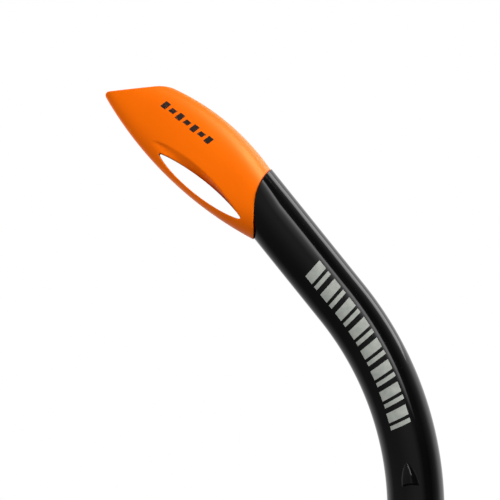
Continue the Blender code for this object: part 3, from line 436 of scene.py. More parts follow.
def skin(rings, closed=False):
    """A solid from rings of equal count. Closed joins the last ring to the first, as in a tube;
    otherwise the two end rings are capped."""
    bm = bmesh.new()
    loops = [[bm.verts.new(point) for point in ring] for ring in rings]
    count = len(loops[0])
    pairs = list(zip(loops, loops[1:]))
    if closed:
        pairs.append((loops[-1], loops[0]))
    for first, second in pairs:
        for i in range(count):
            j = (i + 1) % count
            bm.faces.new((first[i], first[j], second[j], second[i]))
    if not closed:
        bm.faces.new(loops[0])
        bm.faces.new(loops[-1])
    return bm


def add_sheet(bm, grid):
    """Faces between the neighbouring vertices of a grid."""
    for first, second in zip(grid, grid[1:]):
        for j in range(len(first) - 1):
            bm.faces.new((first[j], first[j + 1], second[j + 1], second[j]))


def add_object(name, bm, material=None, sharp=40):
    """The mesh as a named object with outward faces and smooth shading up to the sharp angle."""
    bmesh.ops.recalc_face_normals(bm, faces=bm.faces)
    mesh = bpy.data.meshes.new(name)
    bm.to_mesh(mesh)
    bm.free()
    obj = bpy.data.objects.new(name, mesh)
    bpy.context.scene.collection.objects.link(obj)
    if material:
        mesh.materials.append(material)
    mesh.shade_smooth()
    mesh.set_sharp_from_angle(angle=math.radians(sharp))
    return obj


def apply_modifiers(obj):
    graph = bpy.context.evaluated_depsgraph_get()
    graph.update()
    mesh = bpy.data.meshes.new_from_object(obj.evaluated_get(graph), depsgraph=graph)
    old = obj.data
    obj.modifiers.clear()
    obj.data = mesh
    mesh.name = old.name
    bpy.data.meshes.remove(old)


def placed(obj, matrix):
    obj.data.transform(matrix)
    return obj


def combine(target, operation, shapes, matrix=None):
    """Joins shapes to target's own mesh ("UNION") or cuts them out of it ("DIFFERENCE"). A matrix
    places them first."""
    helpers = [add_object("helper", shape) for shape in shapes]
    for helper in helpers:
        if matrix:
            placed(helper, matrix)
        modifier = target.modifiers.new(helper.name, "BOOLEAN")
        modifier.operation = operation
        modifier.solver = "EXACT"
        modifier.object = helper
    apply_modifiers(target)
    for helper in helpers:
        bpy.data.objects.remove(helper, do_unlink=True)


def joined(name, parts):
    """One object that holds the meshes of several, which are removed."""
    bm = bmesh.new()
    for part in parts:
        bm.from_mesh(part.data)
    material = parts[0].data.materials[0]
    for part in parts:
        bpy.data.objects.remove(part, do_unlink=True)
    return add_object(name, bm, material)


def moulded(obj, voxel, passes, material):
    """Turns joined shapes into one evenly meshed skin whose edges are softly rounded, as moulded
    plastic is. voxel is the mesh size; passes is how far the rounding goes."""
    remesh = obj.modifiers.new("remesh", "REMESH")
    remesh.mode = "VOXEL"
    remesh.voxel_size = voxel
    remesh.use_smooth_shade = True
    smooth = obj.modifiers.new("soften", "SMOOTH")
    smooth.factor = 0.5
    smooth.iterations = passes
    apply_modifiers(obj)
    obj.data.materials.clear()
    obj.data.materials.append(material)
    obj.data.shade_smooth()
    return obj


def circle_angles(sides):
    return [math.tau * i / sides for i in range(sides)]


def ripple(count, angle):
    """From 0 to 1 and back, count times round a circle."""
    return 0.5 - 0.5 * math.cos(count * angle)


def turned(profile, sides=96, closed=True, flutes=0):
    """(radius, z) points turned round the Z axis: a ring-shaped solid, or one with two flat ends
    where it isn't closed. A point's third number is the depth of its flutes."""
    rings = []
    for radius, z, *depth in profile:
        ring = []
        for angle in circle_angles(sides):
            r = radius - sum(depth) * ripple(flutes, angle)
            ring.append(Vector((r * math.cos(angle), r * math.sin(angle), z)))
        rings.append(ring)
    return skin(rings, closed)


def rod(radius, low, high, sides=96):
    """A solid round bar along Z."""
    return turned([(radius, low), (radius, high)], sides, closed=False)


def block(corner, opposite, bevel=0.0, segments=5):
    """A box between two opposite corners, with rounded edges where it has a bevel."""
    bm = bmesh.new()
    bmesh.ops.create_cube(bm, size=1.0)
    low, high = (Vector(ends) for ends in zip(*map(sorted, zip(corner, opposite))))
    for vert in bm.verts:
        vert.co = Vector(between(low[k], high[k], vert.co[k] + 0.5) for k in range(3))
    if bevel:
        bmesh.ops.bevel(bm, geom=bm.edges[:], offset=bevel, segments=segments, affect="EDGES", profile=0.5)
    return bm


def prism(outline, half_depth):
    """A side-view outline of (X, Z) points, extruded along Y to both sides."""
    return skin([[Vector((x, y, z)) for x, z in outline] for y in (-half_depth, half_depth)])


def rounded_outline(corners, segments=6):
    """A closed outline of (a, b, radius) corners, each rounded by its own radius."""
    points = []
    for i, (a, b, radius) in enumerate(corners):
        here = Vector((a, b))
        before = (Vector(corners[i - 1][:2]) - here).normalized()
        after = (Vector(corners[(i + 1) % len(corners)][:2]) - here).normalized()
        if radius == 0:
            points.append((here.x, here.y))
            continue
        half = math.acos(before.dot(after)) / 2
        centre = here + (before + after).normalized() * radius / math.sin(half)
        reach = radius / math.tan(half)
        start, end = here + before * reach - centre, here + after * reach - centre
        sweep = -start.angle_signed(end)
        for k in range(segments + 1):
            c, s = math.cos(sweep * k / segments), math.sin(sweep * k / segments)
            points.append((centre.x + c * start.x - s * start.y, centre.y + s * start.x + c * start.y))
    return points


def finish_piece(obj, body, node):
    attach(obj, body)
    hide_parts(node)
    return obj


def bent_point(start_z, length, angle, up, s, u, v):
    """A point of a tube that leaves start_z upwards (up is 1) or downwards (-1), bends towards -X
    along an arc and runs on straight: s along its centreline, u to the bend's outside, v along Y."""
    turn = min(max(s / length, 0.0), 1.0) * angle
    radius = length / angle
    along = Vector((-math.sin(turn), 0, up * math.cos(turn)))
    outward = Vector((math.cos(turn), 0, up * math.sin(turn)))
    centre = Vector((BARREL_X, 0, start_z))
    centre += Vector((radius * (math.cos(turn) - 1), 0, up * radius * math.sin(turn)))
    beyond = s if s < 0 else max(0.0, s - length)
    return centre + along * beyond + outward * u + Y_AXIS * v


# ---- barrel ----


def barrel_point(s, u, v):
    return bent_point(BEND_START_Z, BEND_LENGTH, BEND_ANGLE, 1, s, u, v)


def barrel_skin_y(u):
    """How far the barrel's side stands from the middle plane, at a distance u from its centreline."""
    return BARREL_HALF_DEPTH * math.sqrt(1 - (u / BARREL_HALF_WIDTH) ** 2)


def cut_distance(u):
    """How far past the bend the barrel's top end lies, at a distance u from its centreline."""
    return CUT_MIDDLE + CUT_SLOPE * u + CUT_BOW * u * u


def barrel_ring(s, half_width, half_depth, cut_share=None, inset=0.0, sides=128):
    """A ring of the barrel. With cut_share, s is that share of the way to the curved top end,
    which inset lowers."""
    ring = []
    for angle in circle_angles(sides):
        u, v = half_width * math.cos(angle), half_depth * math.sin(angle)
        along = s if cut_share is None else BEND_LENGTH + cut_share * (cut_distance(u) - inset)
        ring.append(barrel_point(along, u, v))
    return ring


def make_barrel():
    """The tube: its rolled top lip, the bend, the shoulder, the spigot, and the bore back up."""
    width, depth = BARREL_HALF_WIDTH, BARREL_HALF_DEPTH
    bore = (width - BARREL_WALL, depth - BARREL_WALL)
    lip, closing, edge, flare = mm(0.12, 0.22, 0.5, 2)
    rings = []
    for k in range(5):
        turn = math.pi / 2 * k / 4
        dip, rise = lip * (1 - math.sin(turn)), lip * (1 - math.cos(turn))
        rings.append(barrel_ring(0, width - dip, depth - dip, 1.0, rise - closing))
    rings += [barrel_ring(0, width, depth, share, lip) for share in (0.8, 0.6, 0.4, 0.2)]
    arc = [BEND_LENGTH * i / 60 for i in range(61)]
    rings += [barrel_ring(s, width, depth) for s in reversed(arc)]
    foot = [(z, width, depth) for z in mm(4, -4, -12, -20, -24, -26, -27)]
    for k in range(1, 7):
        ease = (1 - math.cos(math.pi * k / 6)) / 2
        z = SHOULDER_TOP_Z + flare - flare * k / 6
        foot.append((z, between(width, SHOULDER_RADIUS, ease), between(depth, SHOULDER_RADIUS, ease)))
    turned_part = [
        (SHOULDER_BOTTOM_Z + edge, SHOULDER_RADIUS),
        (SHOULDER_BOTTOM_Z, SHOULDER_RADIUS - edge),
        (SHOULDER_BOTTOM_Z, SPIGOT_RADIUS),
        (SPIGOT_BOTTOM_Z + edge, SPIGOT_RADIUS),
        (SPIGOT_BOTTOM_Z, SPIGOT_RADIUS - edge),
        (SPIGOT_BOTTOM_Z, SPIGOT_BORE),
        (SHOULDER_BOTTOM_Z, SPIGOT_BORE),
    ]
    foot += [(z, radius, radius) for z, radius in turned_part]
    foot.append((SHOULDER_TOP_Z + 3 * MM, *bore))
    rings += [barrel_ring(z - BEND_START_Z, a, b) for z, a, b in foot]
    rings += [barrel_ring(s, *bore) for s in arc[::3]]
    rings.append(barrel_ring(0, *bore, 1.0, lip - closing))
    rings.append(barrel_ring(0, bore[0] + lip, bore[1] + lip, 1.0, -closing))
    return add_object("barrel_tube", skin(rings, closed=True), GLOSS)


def make_stop(name, side):
    """A raised arrowhead with a ridge down its middle and a notched base."""
    base = STOP_BASE_Z - BEND_START_Z
    rows, cols = 44, 28
    top, low = [], []
    bm = bmesh.new()
    for t in steps(rows):
        # an ogive in outline, whose ridge rises from the base and falls towards the apex
        half = between(STOP_APEX_HALF, STOP_HALF_WIDTH, (1 - t * t) ** 0.75)
        centre = between(*STOP_OFFSET, t)
        fall = max(0.0, (t - STOP_FLAT_SHARE) / (1 - STOP_FLAT_SHARE))
        peak = STOP_HEIGHT * (1 - 0.8 * fall**2) * min(1.0, 0.12 + 11 * t)
        top.append([])
        low.append([])
        for j in range(cols + 1):
            w = -1 + 2 * j / cols
            s = base + STOP_NOTCH * (1 - abs(w)) * (1 - t) + STOP_LENGTH * t
            u = centre + half * w
            # across, a low step at each edge and a roof with a softened ridge
            height = peak * (0.18 * (1 - w**8) + 0.86 * (1.04 - math.sqrt(w * w + 0.02)))
            top[-1].append(bm.verts.new(barrel_point(s, u, side * (barrel_skin_y(u) + height))))
            low[-1].append(bm.verts.new(barrel_point(s, u, side * (barrel_skin_y(u) - 0.4 * MM))))
    add_sheet(bm, top)
    add_sheet(bm, low)
    border = [(0, j) for j in range(cols)] + [(i, cols) for i in range(rows)]
    border += [(rows, j) for j in range(cols, 0, -1)] + [(i, 0) for i in range(rows, 0, -1)]
    for (a, b), (c, d) in zip(border, border[1:] + border[:1]):
        bm.faces.new((top[a][b], top[c][d], low[c][d], low[a][b]))
    return add_object(name, bm, GLOSS, sharp=60)


# ---- tip ----


def arc_through(points, shares):
    """Points of the circle through three (X, Z) points. Share 0 is the first and 1 the last;
    shares outside 0 to 1 carry on round the same circle."""
    (ax, az), (bx, bz), (cx, cz) = points
    d = 2 * (ax * (bz - cz) + bx * (cz - az) + cx * (az - bz))
    a2, b2, c2 = ax * ax + az * az, bx * bx + bz * bz, cx * cx + cz * cz
    ox = (a2 * (bz - cz) + b2 * (cz - az) + c2 * (az - bz)) / d
    oz = (a2 * (cx - bx) + b2 * (ax - cx) + c2 * (bx - ax)) / d
    radius = math.hypot(ax - ox, az - oz)
    start = math.atan2(az - oz, ax - ox)
    sweep = math.atan2(cz - oz, cx - ox) - start
    sweep = (sweep + math.pi) % math.tau - math.pi
    turns = [start + sweep * share for share in shares]
    return [Vector((ox + radius * math.cos(t), 0, oz + radius * math.sin(t))) for t in turns]


def smooth_curve(points, count):
    """A Catmull-Rom curve through (X, Z) points, evenly spaced in its parameter."""
    knots = [Vector((x, 0, z)) for x, z in points]
    knots = [2 * knots[0] - knots[1], *knots, 2 * knots[-1] - knots[-2]]
    spans = len(points) - 1
    curve = []
    for i in range(count):
        t = spans * i / (count - 1)
        k = min(int(t), spans - 1)
        t -= k
        p, q, r, s = knots[k : k + 4]
        bend = (2 * p - 5 * q + 4 * r - s) * t * t + (3 * q - p - 3 * r + s) * t * t * t
        curve.append(0.5 * (2 * q + (r - p) * t + bend))
    return curve


def squircle_ring(front, back, half_depth, powers, sides):
    """A ring from a front-edge point to a back-edge point. The powers are its front and back
    halves': 2 is an ellipse, more is boxier."""
    middle, half = (front + back) / 2, (back - front) / 2
    ring = []
    for angle in circle_angles(sides):
        c, s = math.cos(angle), math.sin(angle)
        power = powers[0] if c < 0 else powers[1]
        ring.append(middle + half * squared(c, power) + Y_AXIS * half_depth * squared(s, power))
    return ring


def tip_half_depth(share):
    return between(TIP_BASE_HALF_DEPTH, TIP_APEX_HALF_DEPTH, smooth_step(share))


def tip_powers(share):
    """How boxy the tip's front and back halves are there: elliptical where it meets the barrel."""
    return [between(2, power, smooth_step(share / TIP_ELLIPSE_SHARE)) for power in TIP_SQUARENESS]


def tip_sections(count):
    """(share, front-edge point, back-edge point) from below the seam to beyond the apex."""
    shares = steps(count - 1)
    front = arc_through(TIP_FRONT_EDGE, [1.10 - 1.22 * t for t in shares])
    back = arc_through(TIP_BACK_EDGE, [1.22 - 1.78 * t for t in shares])
    return list(zip(shares, front, back))


def tip_body():
    """The tip's outer form, before its top is sliced."""
    rings = []
    for t, f, b in tip_sections(90):
        rings.append(squircle_ring(f, b, tip_half_depth(t), tip_powers(t), 112))
    return skin(rings)


def tip_surface_y(point):
    """How far the tip's outer surface stands from the middle plane at a side-view point."""
    nearest = None
    for t, f, b in tip_sections(121):
        half = (b - f) / 2
        away = point - (f + b) / 2
        off = abs(half.x * away.z - half.z * away.x) / half.length
        if nearest is None or off < nearest[0]:
            nearest = (off, t, away.dot(half) / half.length_squared)
    _, t, across = nearest
    power = tip_powers(t)[0 if across < 0 else 1]
    within = max(0.0, 1 - abs(across) ** power)
    return tip_half_depth(t) * within ** (1 / power)


def scoop_rings(count):
    """The scoop's three lines on the +Y side: its crest on the surface, the foot of the wall below
    it and the slot's edge. Near its upper end the scoop is a shallow dent, deepest along the wall."""
    upper = bowed(SLOT_LEFT, SLOT_RIGHT, SLOT_UPPER_SAG, count, power=0.85)
    lower = bowed(SLOT_LEFT, SLOT_RIGHT, -SLOT_LOWER_SAG, count, power=0.72)[1:-1][::-1]
    outer = bowed(SCOOP_LEFT, SLOT_RIGHT, SCOOP_SAG, count, power=1.1, skew=0.85)
    crest, foot, edge = [], [], []
    for i, (near, far) in enumerate(zip(upper + lower, outer + lower)):
        t = min(1.0, i / (count - 1))
        depth_share = smooth_step(t / SCOOP_RAMP)
        wall_share = 0.13 + 0.67 * depth_share
        step = SCOOP_STEP * smooth_step(t / 0.1) + 0.05 * MM
        middle = far.lerp(near, wall_share)
        edge_y = between(tip_surface_y(near) - 0.1 * MM, SCOOP_FLOOR_Y, depth_share)
        rim_y = max(tip_surface_y(far), edge_y + GAP)
        dent_y = tip_surface_y(middle) - step
        wall_y = between(rim_y, edge_y, wall_share)
        crest.append(far + Y_AXIS * rim_y)
        foot.append(middle + Y_AXIS * between(dent_y, wall_y, depth_share))
        edge.append(near + Y_AXIS * edge_y)
    return crest, foot, edge


def tip_top_cutter():
    """Everything above the tip's flat top, whose two ends are rounded in the side view."""
    corners = []
    for edge, share, radius in (
        (TIP_FRONT_EDGE, TIP_APEX_SHARE, TIP_APEX_RADIUS),
        (TIP_BACK_EDGE, TIP_CORNER_SHARE, TIP_CORNER_RADIUS),
    ):
        before, here, after = arc_through(edge, [share - 0.01, share, share + 0.01])
        tangent_end = here + (after - before).normalized() * 15 * MM
        corners.append([(here.x, here.z, radius), (tangent_end.x, tangent_end.z, 0)])
    (apex, front_end), (corner, back_end) = corners
    above = [mm(-50, 240, 0), mm(-140, 240, 0), mm(-140, 185, 0)]
    outline = rounded_outline([front_end, apex, corner, back_end, *above], 14)
    return prism(outline, 25 * MM)


def seam_side_cutter():
    """Everything below the curved seam where the tip rests on the barrel's end."""
    reach = 22.0 * MM
    count = 45
    seam = []
    for i in range(count):
        u = -reach + 2 * reach * i / (count - 1)
        held = max(-BARREL_HALF_WIDTH, min(BARREL_HALF_WIDTH, u))
        slope = CUT_SLOPE + 2 * CUT_BOW * held
        s = cut_distance(held) + (u - held) * slope + 0.5 * GAP
        seam.append(barrel_point(BEND_LENGTH + s, u, 0))
    low = [barrel_point(BEND_LENGTH - 10 * MM, u, 0) for u in (reach, -reach)]
    outline = [(p.x, p.z) for p in seam + low]
    return prism(outline, 25 * MM)


def oval_bar(half_width, half_depth, low, high):
    """A stretch of the barrel's straight top end as a solid bar."""
    return skin([barrel_ring(BEND_LENGTH + s, half_width, half_depth, sides=96) for s in (low, high)])


def bowed(start, end, sag, count, power=1.0, skew=1.0):
    """Points from start to end, bowed by sag to the left of the way. Power under 1 makes the ends
    blunter; skew over 1 moves the fullest place towards the end."""
    a, b = Vector((start[0], 0, start[1])), Vector((end[0], 0, end[1]))
    along = b - a
    side = Vector((-along.z, 0, along.x)).normalized()
    points = []
    for t in steps(count - 1):
        fullness = 4 * t**skew * (1 - t**skew)
        points.append(a + along * t + side * sag * fullness**power)
    return points


def slot_cutter():
    """The see-through slot, flaring on each side into a scoop along its upper edge."""
    crest, foot, edge = scoop_rings(49)
    beyond = [Vector((point.x, 20 * MM, point.z)) for point in crest]
    half = []
    for k in range(4):
        half.append([low.lerp(high, k / 4) for low, high in zip(edge, foot)])
    half += [foot, crest, beyond]
    mirrored = [[Vector((point.x, -point.y, point.z)) for point in ring] for ring in half]
    return skin(mirrored[::-1] + half)


def passage_edges(count):
    """The shares along the air passage, its floor and its roof, a wall's thickness below the back."""
    floor = smooth_curve(PASSAGE_FLOOR, count)
    shares = steps(count - 1)
    roof = arc_through(TIP_BACK_EDGE, [1.30 - 1.42 * t for t in shares])
    inset = []
    for low, high in zip(floor, roof):
        inset.append(high + (low - high).normalized() * (TIP_WALL + 0.6 * MM))
    return shares, floor, inset


def passage_cutter():
    shares, floor, roof = passage_edges(40)
    rings = []
    for t, low, high in zip(shares, floor, roof):
        half_depth = between(*PASSAGE_HALF_DEPTH, smooth_step(t))
        rings.append(squircle_ring(low, high, half_depth, PASSAGE_SQUARENESS, 64))
    return skin(rings)


def throat_cutter():
    """The way from the slot's upper edge up into the passage, between the two scoops."""
    lower = bowed(SLOT_LEFT, SLOT_RIGHT, 0.5 * SLOT_UPPER_SAG, 33)[4:-3]
    shares, floor, _ = passage_edges(40)
    upper = [point for t, point in zip(shares, floor) if 0.2 < t < 0.72]
    lift = Vector(mm(0.6, 0, 0.8))
    outline = [(p.x, p.z) for p in lower] + [((p + lift).x, (p + lift).z) for p in upper]
    return prism(outline, THROAT_HALF_DEPTH)


def make_tip():
    """The splash guard: sliced to shape, given a spigot for the barrel, and hollowed."""
    tip = add_object("tip_shell_moulded", tip_body())
    combine(tip, "DIFFERENCE", [tip_top_cutter(), seam_side_cutter()])
    width, depth = (half - BARREL_WALL - GAP for half in (BARREL_HALF_WIDTH, BARREL_HALF_DEPTH))
    low, high = cut_distance(-BARREL_HALF_WIDTH) - TIP_SPIGOT_LENGTH, CUT_MIDDLE - 4 * MM
    combine(tip, "UNION", [oval_bar(width, depth, low, high)])
    wall = 1.8 * MM
    bore = oval_bar(width - wall, depth - wall, low - 2 * MM, high + 3 * MM)
    combine(tip, "DIFFERENCE", [bore, passage_cutter(), slot_cutter(), throat_cutter()])
    return moulded(tip, 0.30 * MM, 6, ORANGE)


# ---- hose ----


def hose_point(s, u, v):
    return bent_point(HOSE_BEND_Z, HOSE_LENGTH, HOSE_ANGLE, -1, s, u, v)


def hose_outer(s):
    """The hose's outer radius: plain cuffs, and rounded convolutions between them."""
    if s < 0 or s > HOSE_LENGTH:
        into = (-s if s < 0 else s - HOSE_LENGTH) / CUFF_BLEND
        return between(VALLEY_RADIUS, CUFF_OUTER, smooth_step(into))
    crest = ripple(CONVOLUTIONS, math.tau * s / HOSE_LENGTH)
    return between(VALLEY_RADIUS, CREST_RADIUS, crest**0.8)


def make_hose():
    """The hose: down its outside from cuff to cuff, and back up its inside."""
    edge = 0.6 * MM
    top, bottom = HOSE_BEND_Z - HOSE_TOP_Z, HOSE_LENGTH + CUFF_LENGTH
    cuff_bore = SPIGOT_RADIUS + 0.2 * MM
    count = 16 * CONVOLUTIONS
    wave = [HOSE_LENGTH * i / count for i in range(count + 1)]
    blend = [CUFF_BLEND * k / 5 for k in range(1, 6)]
    outside = [-s for s in reversed(blend)] + wave + [HOSE_LENGTH + s for s in blend]
    rim = [(0, edge), (0.3 * edge, 0.3 * edge), (edge, 0)]
    stations = [(top + along, CUFF_OUTER - dip) for along, dip in rim]
    stations += [(s, hose_outer(s)) for s in outside]
    stations += [(bottom - along, CUFF_OUTER - dip) for along, dip in reversed(rim)]
    stations += [(bottom, cuff_bore), (HOSE_LENGTH + CUFF_BLEND, cuff_bore)]
    stations += [(s, hose_outer(s) - HOSE_WALL) for s in wave[::-4]]
    stations += [(-CUFF_BLEND, cuff_bore), (top, cuff_bore)]
    rings = []
    for s, radius in stations:
        rings.append([hose_point(s, radius * math.cos(a), radius * math.sin(a)) for a in circle_angles(72)])
    return add_object("flex_hose_ribbed", skin(rings, closed=True), SILICONE, sharp=60)


def make_clamp_ring(name):
    """A turned ring with rounded edges and shallow finger flutes that fade out at its ends."""
    inner, half = RING_INNER - 0.2 * MM, RING_LENGTH / 2
    corners = [(inner, -half, 0.3 * MM), (RING_OUTER, -half, 1.2 * MM)]
    corners += [(RING_OUTER, half, 1.2 * MM), (inner, half, 0.3 * MM)]
    outline = rounded_outline(corners, 5)
    middle = len(outline) // 2
    low, high = outline[middle - 1][1], outline[middle][1]
    flutes = []
    for share in steps(16)[1:-1]:
        fade = min(1.0, 5 * share, 5 * (1 - share))
        flutes.append((RING_OUTER, between(low, high, share), 0.45 * MM * fade))
    profile = outline[:middle] + flutes + outline[middle:]
    return add_object(name, turned(profile, 288, flutes=36), SATIN, sharp=50)


# ---- keeper ----


def along_x(bm):
    """Turns a shape made along Z so that it lies along X."""
    bmesh.ops.rotate(bm, verts=bm.verts, matrix=Matrix.Rotation(math.pi / 2, 3, "Y"))
    return bm


def collar_ring(z, wall=0.0, ribs=0.0, sides=320):
    """A ring of the collar at a wall's thickness outside its bore. ribs is the depth of the grip
    ribs on the two flat sides."""
    ring = []
    for angle in circle_angles(sides):
        grip = max(0.0, abs(math.sin(angle)) - 0.72) / 0.28
        extra = COLLAR_CLEARANCE + wall - ribs * ripple(56, angle) * min(1.0, 3 * grip)
        x = (BARREL_HALF_WIDTH + extra) * math.cos(angle)
        ring.append(Vector((BARREL_X + x, (BARREL_HALF_DEPTH + extra) * math.sin(angle), z)))
    return ring


def make_collar():
    """The sliding collar: softened edges, and fine grip ribs on its two flat sides."""
    edge = 1.1 * MM
    turns = [math.pi / 2 * k / 5 for k in range(6)]
    rounding = [(edge * (1 - math.cos(a)), edge * (1 - math.sin(a))) for a in turns]
    levels = [(-COLLAR_HALF_HEIGHT + rise, dip) for rise, dip in rounding]
    levels += [(z, 0.0) for z in mm(-5.4, -5.0, -4, -2, 0, 2, 4, 5.0, 5.4)]
    levels += [(COLLAR_HALF_HEIGHT - rise, dip) for rise, dip in rounding[::-1]]
    rings = [collar_ring(-COLLAR_HALF_HEIGHT)]
    for z, dip in levels:
        rings.append(collar_ring(z, COLLAR_WALL - dip, 0.35 * MM if abs(z) < 5.2 * MM else 0.0))
    rings.append(collar_ring(COLLAR_HALF_HEIGHT))
    collar = add_object("keeper_collar_ribbed", skin(rings, closed=True), SATIN)
    wall_inside = BARREL_X - BARREL_HALF_WIDTH - COLLAR_CLEARANCE
    flare = [(HUB_RADIUS, 6.4 * MM), (HUB_RADIUS + 0.5 * MM, 7.2 * MM), (HUB_RADIUS + 1.6 * MM, 8.0 * MM)]
    hub = [rod(HUB_RADIUS, CLIP_THICKNESS + GAP, wall_inside - 0.8 * MM), turned(flare, closed=False)]
    combine(collar, "UNION", map(along_x, hub))
    bore = skin([collar_ring(side * (COLLAR_HALF_HEIGHT + 1 * MM), sides=160) for side in (-1, 1)])
    hole = rod(PIN_RADIUS + GAP, 0, 15 * MM, 64)
    recess = rod(PIN_HEAD_RADIUS + GAP, PIN_HEAD_X[0] - GAP, 15 * MM, 64)
    combine(collar, "DIFFERENCE", [bore, along_x(hole), along_x(recess)])
    return moulded(collar, 0.27 * MM, 2, SATIN)


def rounded_rectangle(half_a, half_b, corner):
    """Points round a rectangle with round corners."""
    points = []
    for quarter, (side_a, side_b) in enumerate(((1, 1), (-1, 1), (-1, -1), (1, -1))):
        for share in steps(11):
            angle = (quarter + share) * math.pi / 2
            a = side_a * (half_a - corner) + corner * math.cos(angle)
            b = side_b * (half_b - corner) + corner * math.sin(angle)
            points.append((a, b))
    return points


def plate(outline, low_x, high_x):
    """A (Y, Z) outline extruded along X."""
    return skin([[Vector((x, y, z)) for y, z in outline] for x in (low_x, high_x)])


def make_clip():
    """The strap clip: a pad with an open strap slot each side, ribbed along its outer bars."""
    outline = rounded_rectangle(CLIP_HALF_Y, CLIP_HALF_Z, CLIP_CORNER)
    clip = add_object("strap_clip_moulded", plate(outline, 0, CLIP_THICKNESS))
    inner = HUB_RADIUS + GAP
    outer = inner + CLIP_SOCKET_WALL
    buried = CLIP_THICKNESS - 0.5 * MM
    socket = [(inner, buried), (inner, CLIP_SOCKET_END), (outer, CLIP_SOCKET_END), (outer, buried)]
    combine(clip, "UNION", [along_x(turned(socket))])
    cutters = [along_x(rod(PIN_RADIUS + GAP, PIN_TIP_X - GAP, 10 * MM, 64))]
    below, above = mm(-2, 8)
    shape = rounded_rectangle(STRAP_SLOT_WIDTH / 2, STRAP_SLOT_HEIGHT / 2, 1.5 * MM)
    for side in (-1, 1):
        cutters.append(plate([(y + side * STRAP_SLOT_Y, z) for y, z in shape], below, above))
        corner = (below, side * STRAP_SLOT_Y, -STRAP_ENTRY / 2)
        cutters.append(block(corner, (above, side * (CLIP_HALF_Y + 3 * MM), STRAP_ENTRY / 2)))
        for z in (-11.5, -9.5, -7.5, 7.5, 9.5, 11.5):
            corner = (CLIP_THICKNESS - 0.4 * MM, side * 15.4 * MM, (z - 0.45) * MM)
            cutters.append(block(corner, (CLIP_THICKNESS + 2 * MM, side * 20 * MM, (z + 0.45) * MM)))
    combine(clip, "DIFFERENCE", cutters)
    return moulded(clip, 0.27 * MM, 3, SATIN)


def make_pin():
    """The swivel pin, with softened edges."""
    edge = 0.25 * MM
    low, high = PIN_HEAD_X
    profile = [(PIN_RADIUS - edge, PIN_TIP_X), (PIN_RADIUS, PIN_TIP_X + edge), (PIN_RADIUS, low)]
    profile += [(PIN_HEAD_RADIUS - edge, low), (PIN_HEAD_RADIUS, low + edge)]
    profile += [(PIN_HEAD_RADIUS, high - edge), (PIN_HEAD_RADIUS - edge, high)]
    return add_object("swivel_pin_turned", along_x(turned(profile, closed=False)), SATIN)


# ---- purge chamber ----

CHAMBER = Matrix.Translation(hose_point(HOSE_LENGTH, 0, 0)) @ Matrix.Rotation(HOSE_ANGLE, 4, "Y")
MOUTH = CHAMBER @ Matrix.Translation((0, 0, MOUTH_AXIS_Z))
MOUTH = MOUTH @ Matrix.Rotation(-math.pi / 2 - MOUTH_TILT, 4, "Y")


def make_housing():
    """The chamber: a turned body with two fine grooves, and a spigot with a wide root."""
    bore_top = CHAMBER_TOP - 3.0 * MM
    corners = [
        (SPIGOT_RADIUS, INLET_TOP, 0.5 * MM),
        (SPIGOT_RADIUS, INLET_FLANGE_TOP, 0.2 * MM),
        (INLET_FLANGE_RADIUS, INLET_FLANGE_TOP, 0.7 * MM),
        (INLET_FLANGE_RADIUS, INLET_FLANGE_BOTTOM, 0.9 * MM),
        (CHAMBER_RADIUS, CHAMBER_TOP, 1.6 * MM),
    ]
    for middle in (-24.8, -44.0):
        for rise, dip in ((0.6, 0), (0.3, 0.35), (-0.3, 0.35), (-0.6, 0)):
            corners.append((CHAMBER_RADIUS - dip * MM, (middle + rise) * MM, 0))
    corners += [
        (CHAMBER_RADIUS, CHAMBER_BOTTOM, 0.4 * MM),
        (CHAMBER_BORE, CHAMBER_BOTTOM, 0.4 * MM),
        (CHAMBER_BORE, bore_top, 1.0 * MM),
        (SPIGOT_BORE, CHAMBER_TOP, 1.0 * MM),
        (SPIGOT_BORE, INLET_TOP, 0.5 * MM),
    ]
    housing = placed(add_object("purge_housing_moulded", turned(rounded_outline(corners), 160)), CHAMBER)
    end, radius = MOUTH_SPIGOT_END, MOUTH_SPIGOT_RADIUS
    spigot = [(radius + 1.8 * MM, 13.5 * MM), (radius + 1.2 * MM, 17 * MM), (radius, 18.2 * MM)]
    spigot += [(radius, end - 0.5 * MM), (radius - 0.5 * MM, end)]
    combine(housing, "UNION", [turned(spigot, closed=False)], MOUTH)
    combine(housing, "DIFFERENCE", [rod(CHAMBER_BORE, SEAT_TOP, bore_top)], CHAMBER)
    combine(housing, "DIFFERENCE", [rod(MOUTH_SPIGOT_BORE, 6 * MM, end + 2 * MM)], MOUTH)
    return moulded(housing, 0.34 * MM, 3, GLOSS)


